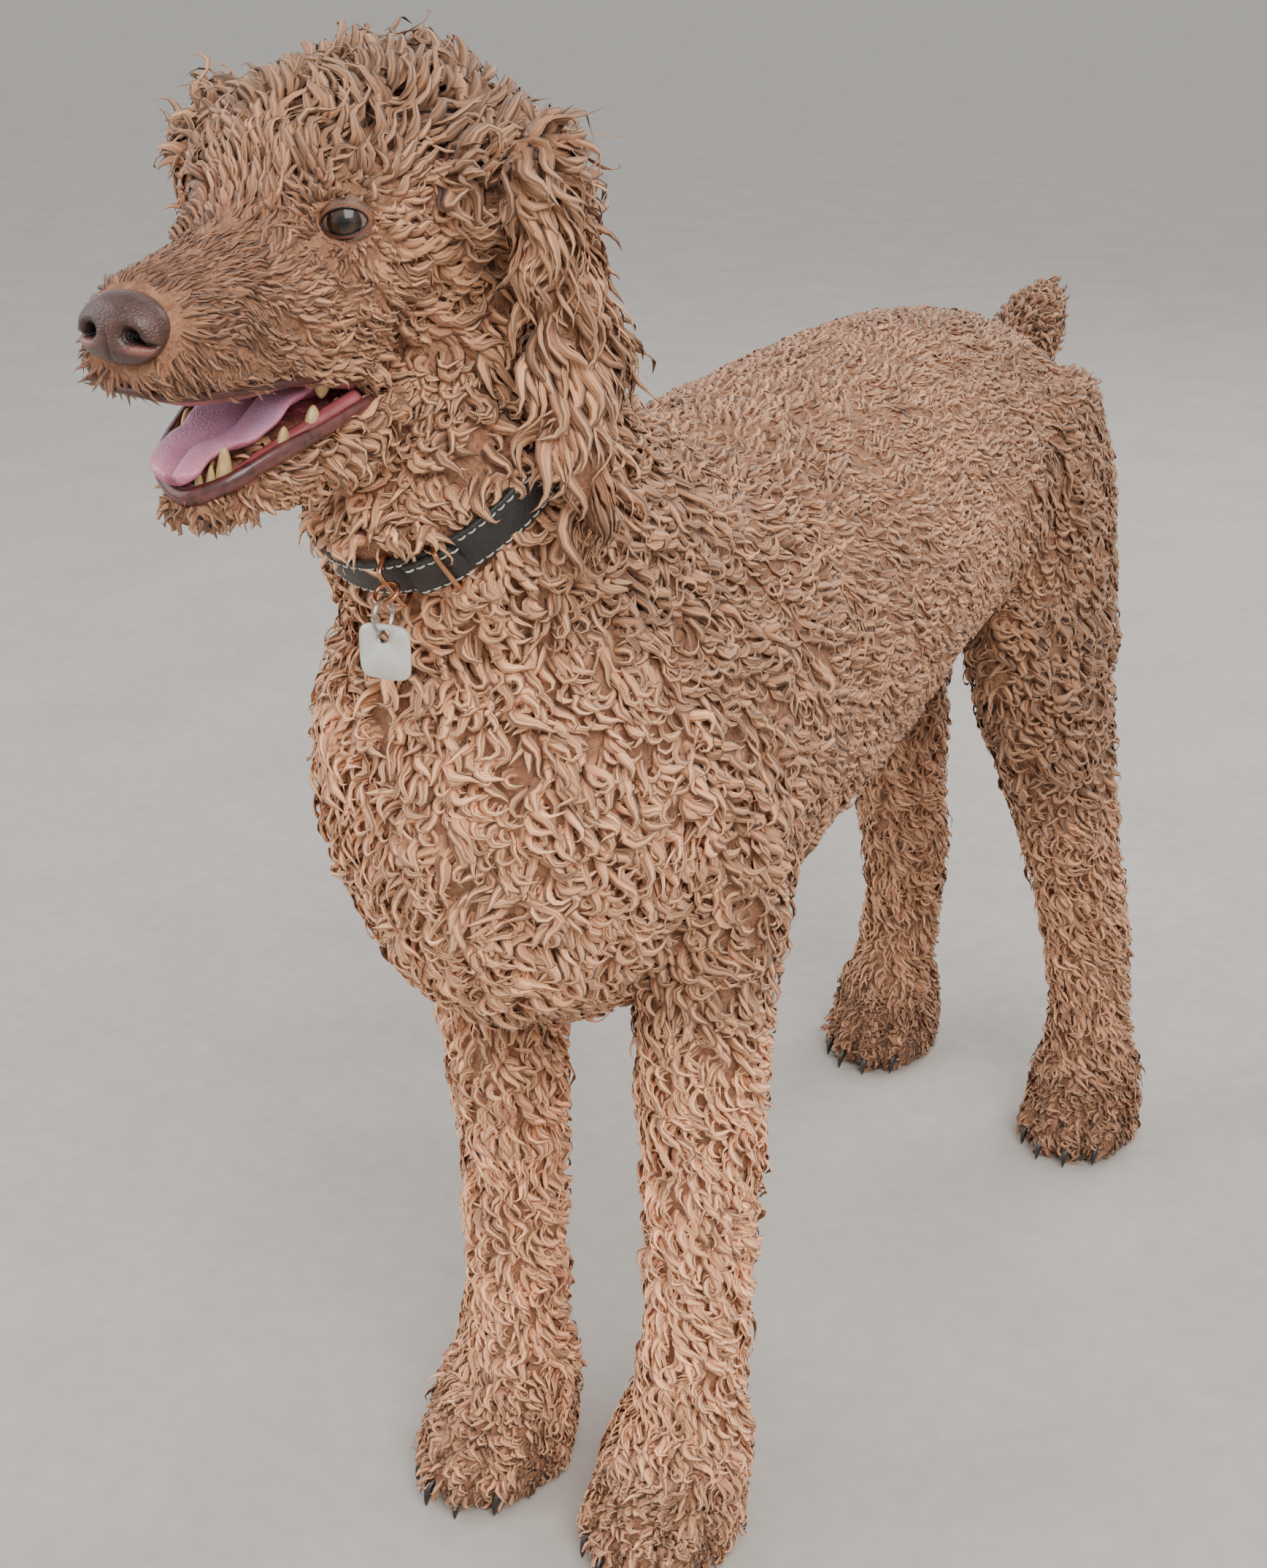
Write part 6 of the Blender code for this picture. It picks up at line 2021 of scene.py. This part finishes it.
    def build(self, maker: Maker) -> None:
        """Make the collar's pieces."""
        maker.piece("collar_strap", self.strap(), self.leather, Slot.LEATHER, "collar")
        maker.piece("collar_end", self.end(), self.leather, Slot.LEATHER, "strap_end")
        maker.piece("collar_stitches", self.stitches(), self.thread, Slot.TAG)
        for number, turn in enumerate(self.slides, 1):
            maker.piece(f"collar_slide_{number}", self.slide(turn), self.copper, Slot.COPPER,
                        f"slide_{number}")
        maker.piece("collar_d_ring", self.d_ring(), self.copper, Slot.COPPER, "d_ring")
        maker.piece("collar_split_ring", self.split_ring(), self.steel, Slot.STEEL, "split_ring")
        maker.piece("tag_plate", self.tag(), self.enamel, Slot.TAG, "tag")
        maker.piece("tag_eyelet", self.eyelet(), self.steel, Slot.STEEL)


@dataclass
class Studio:
    """The floor, the lights and the camera."""

    azimuth: float = radians(32.8)
    pitch: float = radians(22.0)
    roll: float = radians(-0.3)
    camera_at: tuple = (0.565, -1.003, 0.829)
    focal: float = 2936.0
    picture_height: float = 2148.0
    film: float = 36.0
    floor_radius: float = 160.0
    pale: Finish = PlainFinish("floor_pale", (196, 190, 182), (184, 178, 170), 0.85, 60.0, 0.0004)

    def camera(self, maker: Maker) -> None:
        """Set the camera from its place, its turn round the dog, its pitch and its roll.

        Args:
            maker: For the step from the stance to the model's frame.
        """
        back = np.array((sin(self.azimuth) * cos(self.pitch),
                         -cos(self.azimuth) * cos(self.pitch), sin(self.pitch)))
        right = np.array((cos(self.azimuth), sin(self.azimuth), 0.0))
        up = np.cross(back, right)
        across = right * cos(self.roll) + up * sin(self.roll)
        rise = up * cos(self.roll) - right * sin(self.roll)
        lens = bpy.data.cameras.new("photo_view")
        lens.sensor_width = self.film
        lens.lens = self.focal / self.picture_height * self.film
        made = linked("photo_view", lens)
        self.stand(made, across, rise, back, np.array(self.camera_at) + maker.shift)
        bpy.context.scene.camera = made

    @staticmethod
    def stand(made: Object, *columns: Array) -> None:
        """Turn and place an object by its right, up and back directions and its spot."""
        made.matrix_world = Matrix((*np.stack(columns, 1).tolist(), (0, 0, 0, 1)))

    def light(self, name: str, spot: tuple, aim: tuple, power: float, size: float,
              colour: tuple) -> None:
        """Add a soft square light.

        Args:
            name: Its name.
            spot: Where it stands.
            aim: What it is turned to.
            power: Its power in watts.
            size: Its side in metres.
            colour: Its colour.
        """
        lamp = bpy.data.lights.new(name, "AREA")
        lamp.energy, lamp.size, lamp.color = power, size, colour
        back = unit(np.array(spot) - np.array(aim))
        right = unit(np.cross((0, 0, 1), back))
        self.stand(linked(name, lamp), right, np.cross(back, right), back, np.array(spot))

    def floor(self) -> None:
        """Lay a wide pale disc: rings whose radii grow by equal shares, about a middle point."""
        rows, sides = 24, 96
        c, s = ring(sides)
        size = np.geomspace(0.02, self.floor_radius, rows)[:, None]
        points = np.concatenate([spread(size * c, size * s, 0.0).reshape(-1, 3), np.zeros((1, 3))])
        side = np.arange(sides)
        fan = np.stack((np.full(sides, rows * sides), side, (side + 1) % sides), 1)
        faces = np.concatenate([grid_faces(rows, sides)[:, ::-1], fan])
        mesh = bpy.data.meshes.new("floor")
        mesh.from_pydata(points.tolist(), [], faces.tolist())
        mesh.materials.append(self.pale.build())
        linked("floor", mesh)

    def build(self, maker: Maker) -> None:
        """Set up the whole studio."""
        self.camera(maker)
        self.floor()
        self.light("key", (1.9, -1.7, 2.6), (0.0, -0.1, 0.4), 84.0, 2.0, (1.0, 0.98, 0.95))
        self.light("fill", (-2.2, -1.6, 1.6), (0.0, -0.1, 0.4), 36.0, 2.4, (0.95, 0.97, 1.0))
        self.light("back", (0.6, 2.6, 2.2), (0.0, 0.1, 0.5), 40.0, 1.8, (1.0, 0.98, 0.95))
        world = bpy.data.worlds.new("studio")
        world.use_nodes = True
        sky = world.node_tree.nodes["Background"]
        sky.inputs["Color"].default_value = (0.86, 0.87, 0.89, 1.0)
        sky.inputs["Strength"].default_value = 0.95
        bpy.context.scene.world = world


def main() -> None:
    """Build the dog piece by piece."""
    logging.basicConfig(level=logging.INFO, format="%(message)s")
    maker = Maker()
    body = Body()
    skin = Skin(body).build(maker, SkinFinish())
    Coat().build(maker, skin, body, CoatFinish())
    for part in (Eyes(), Nose(), Mouth(), Claws(), Collar(), Studio()):
        part.build(maker)


if __name__ == "__main__":
    main()
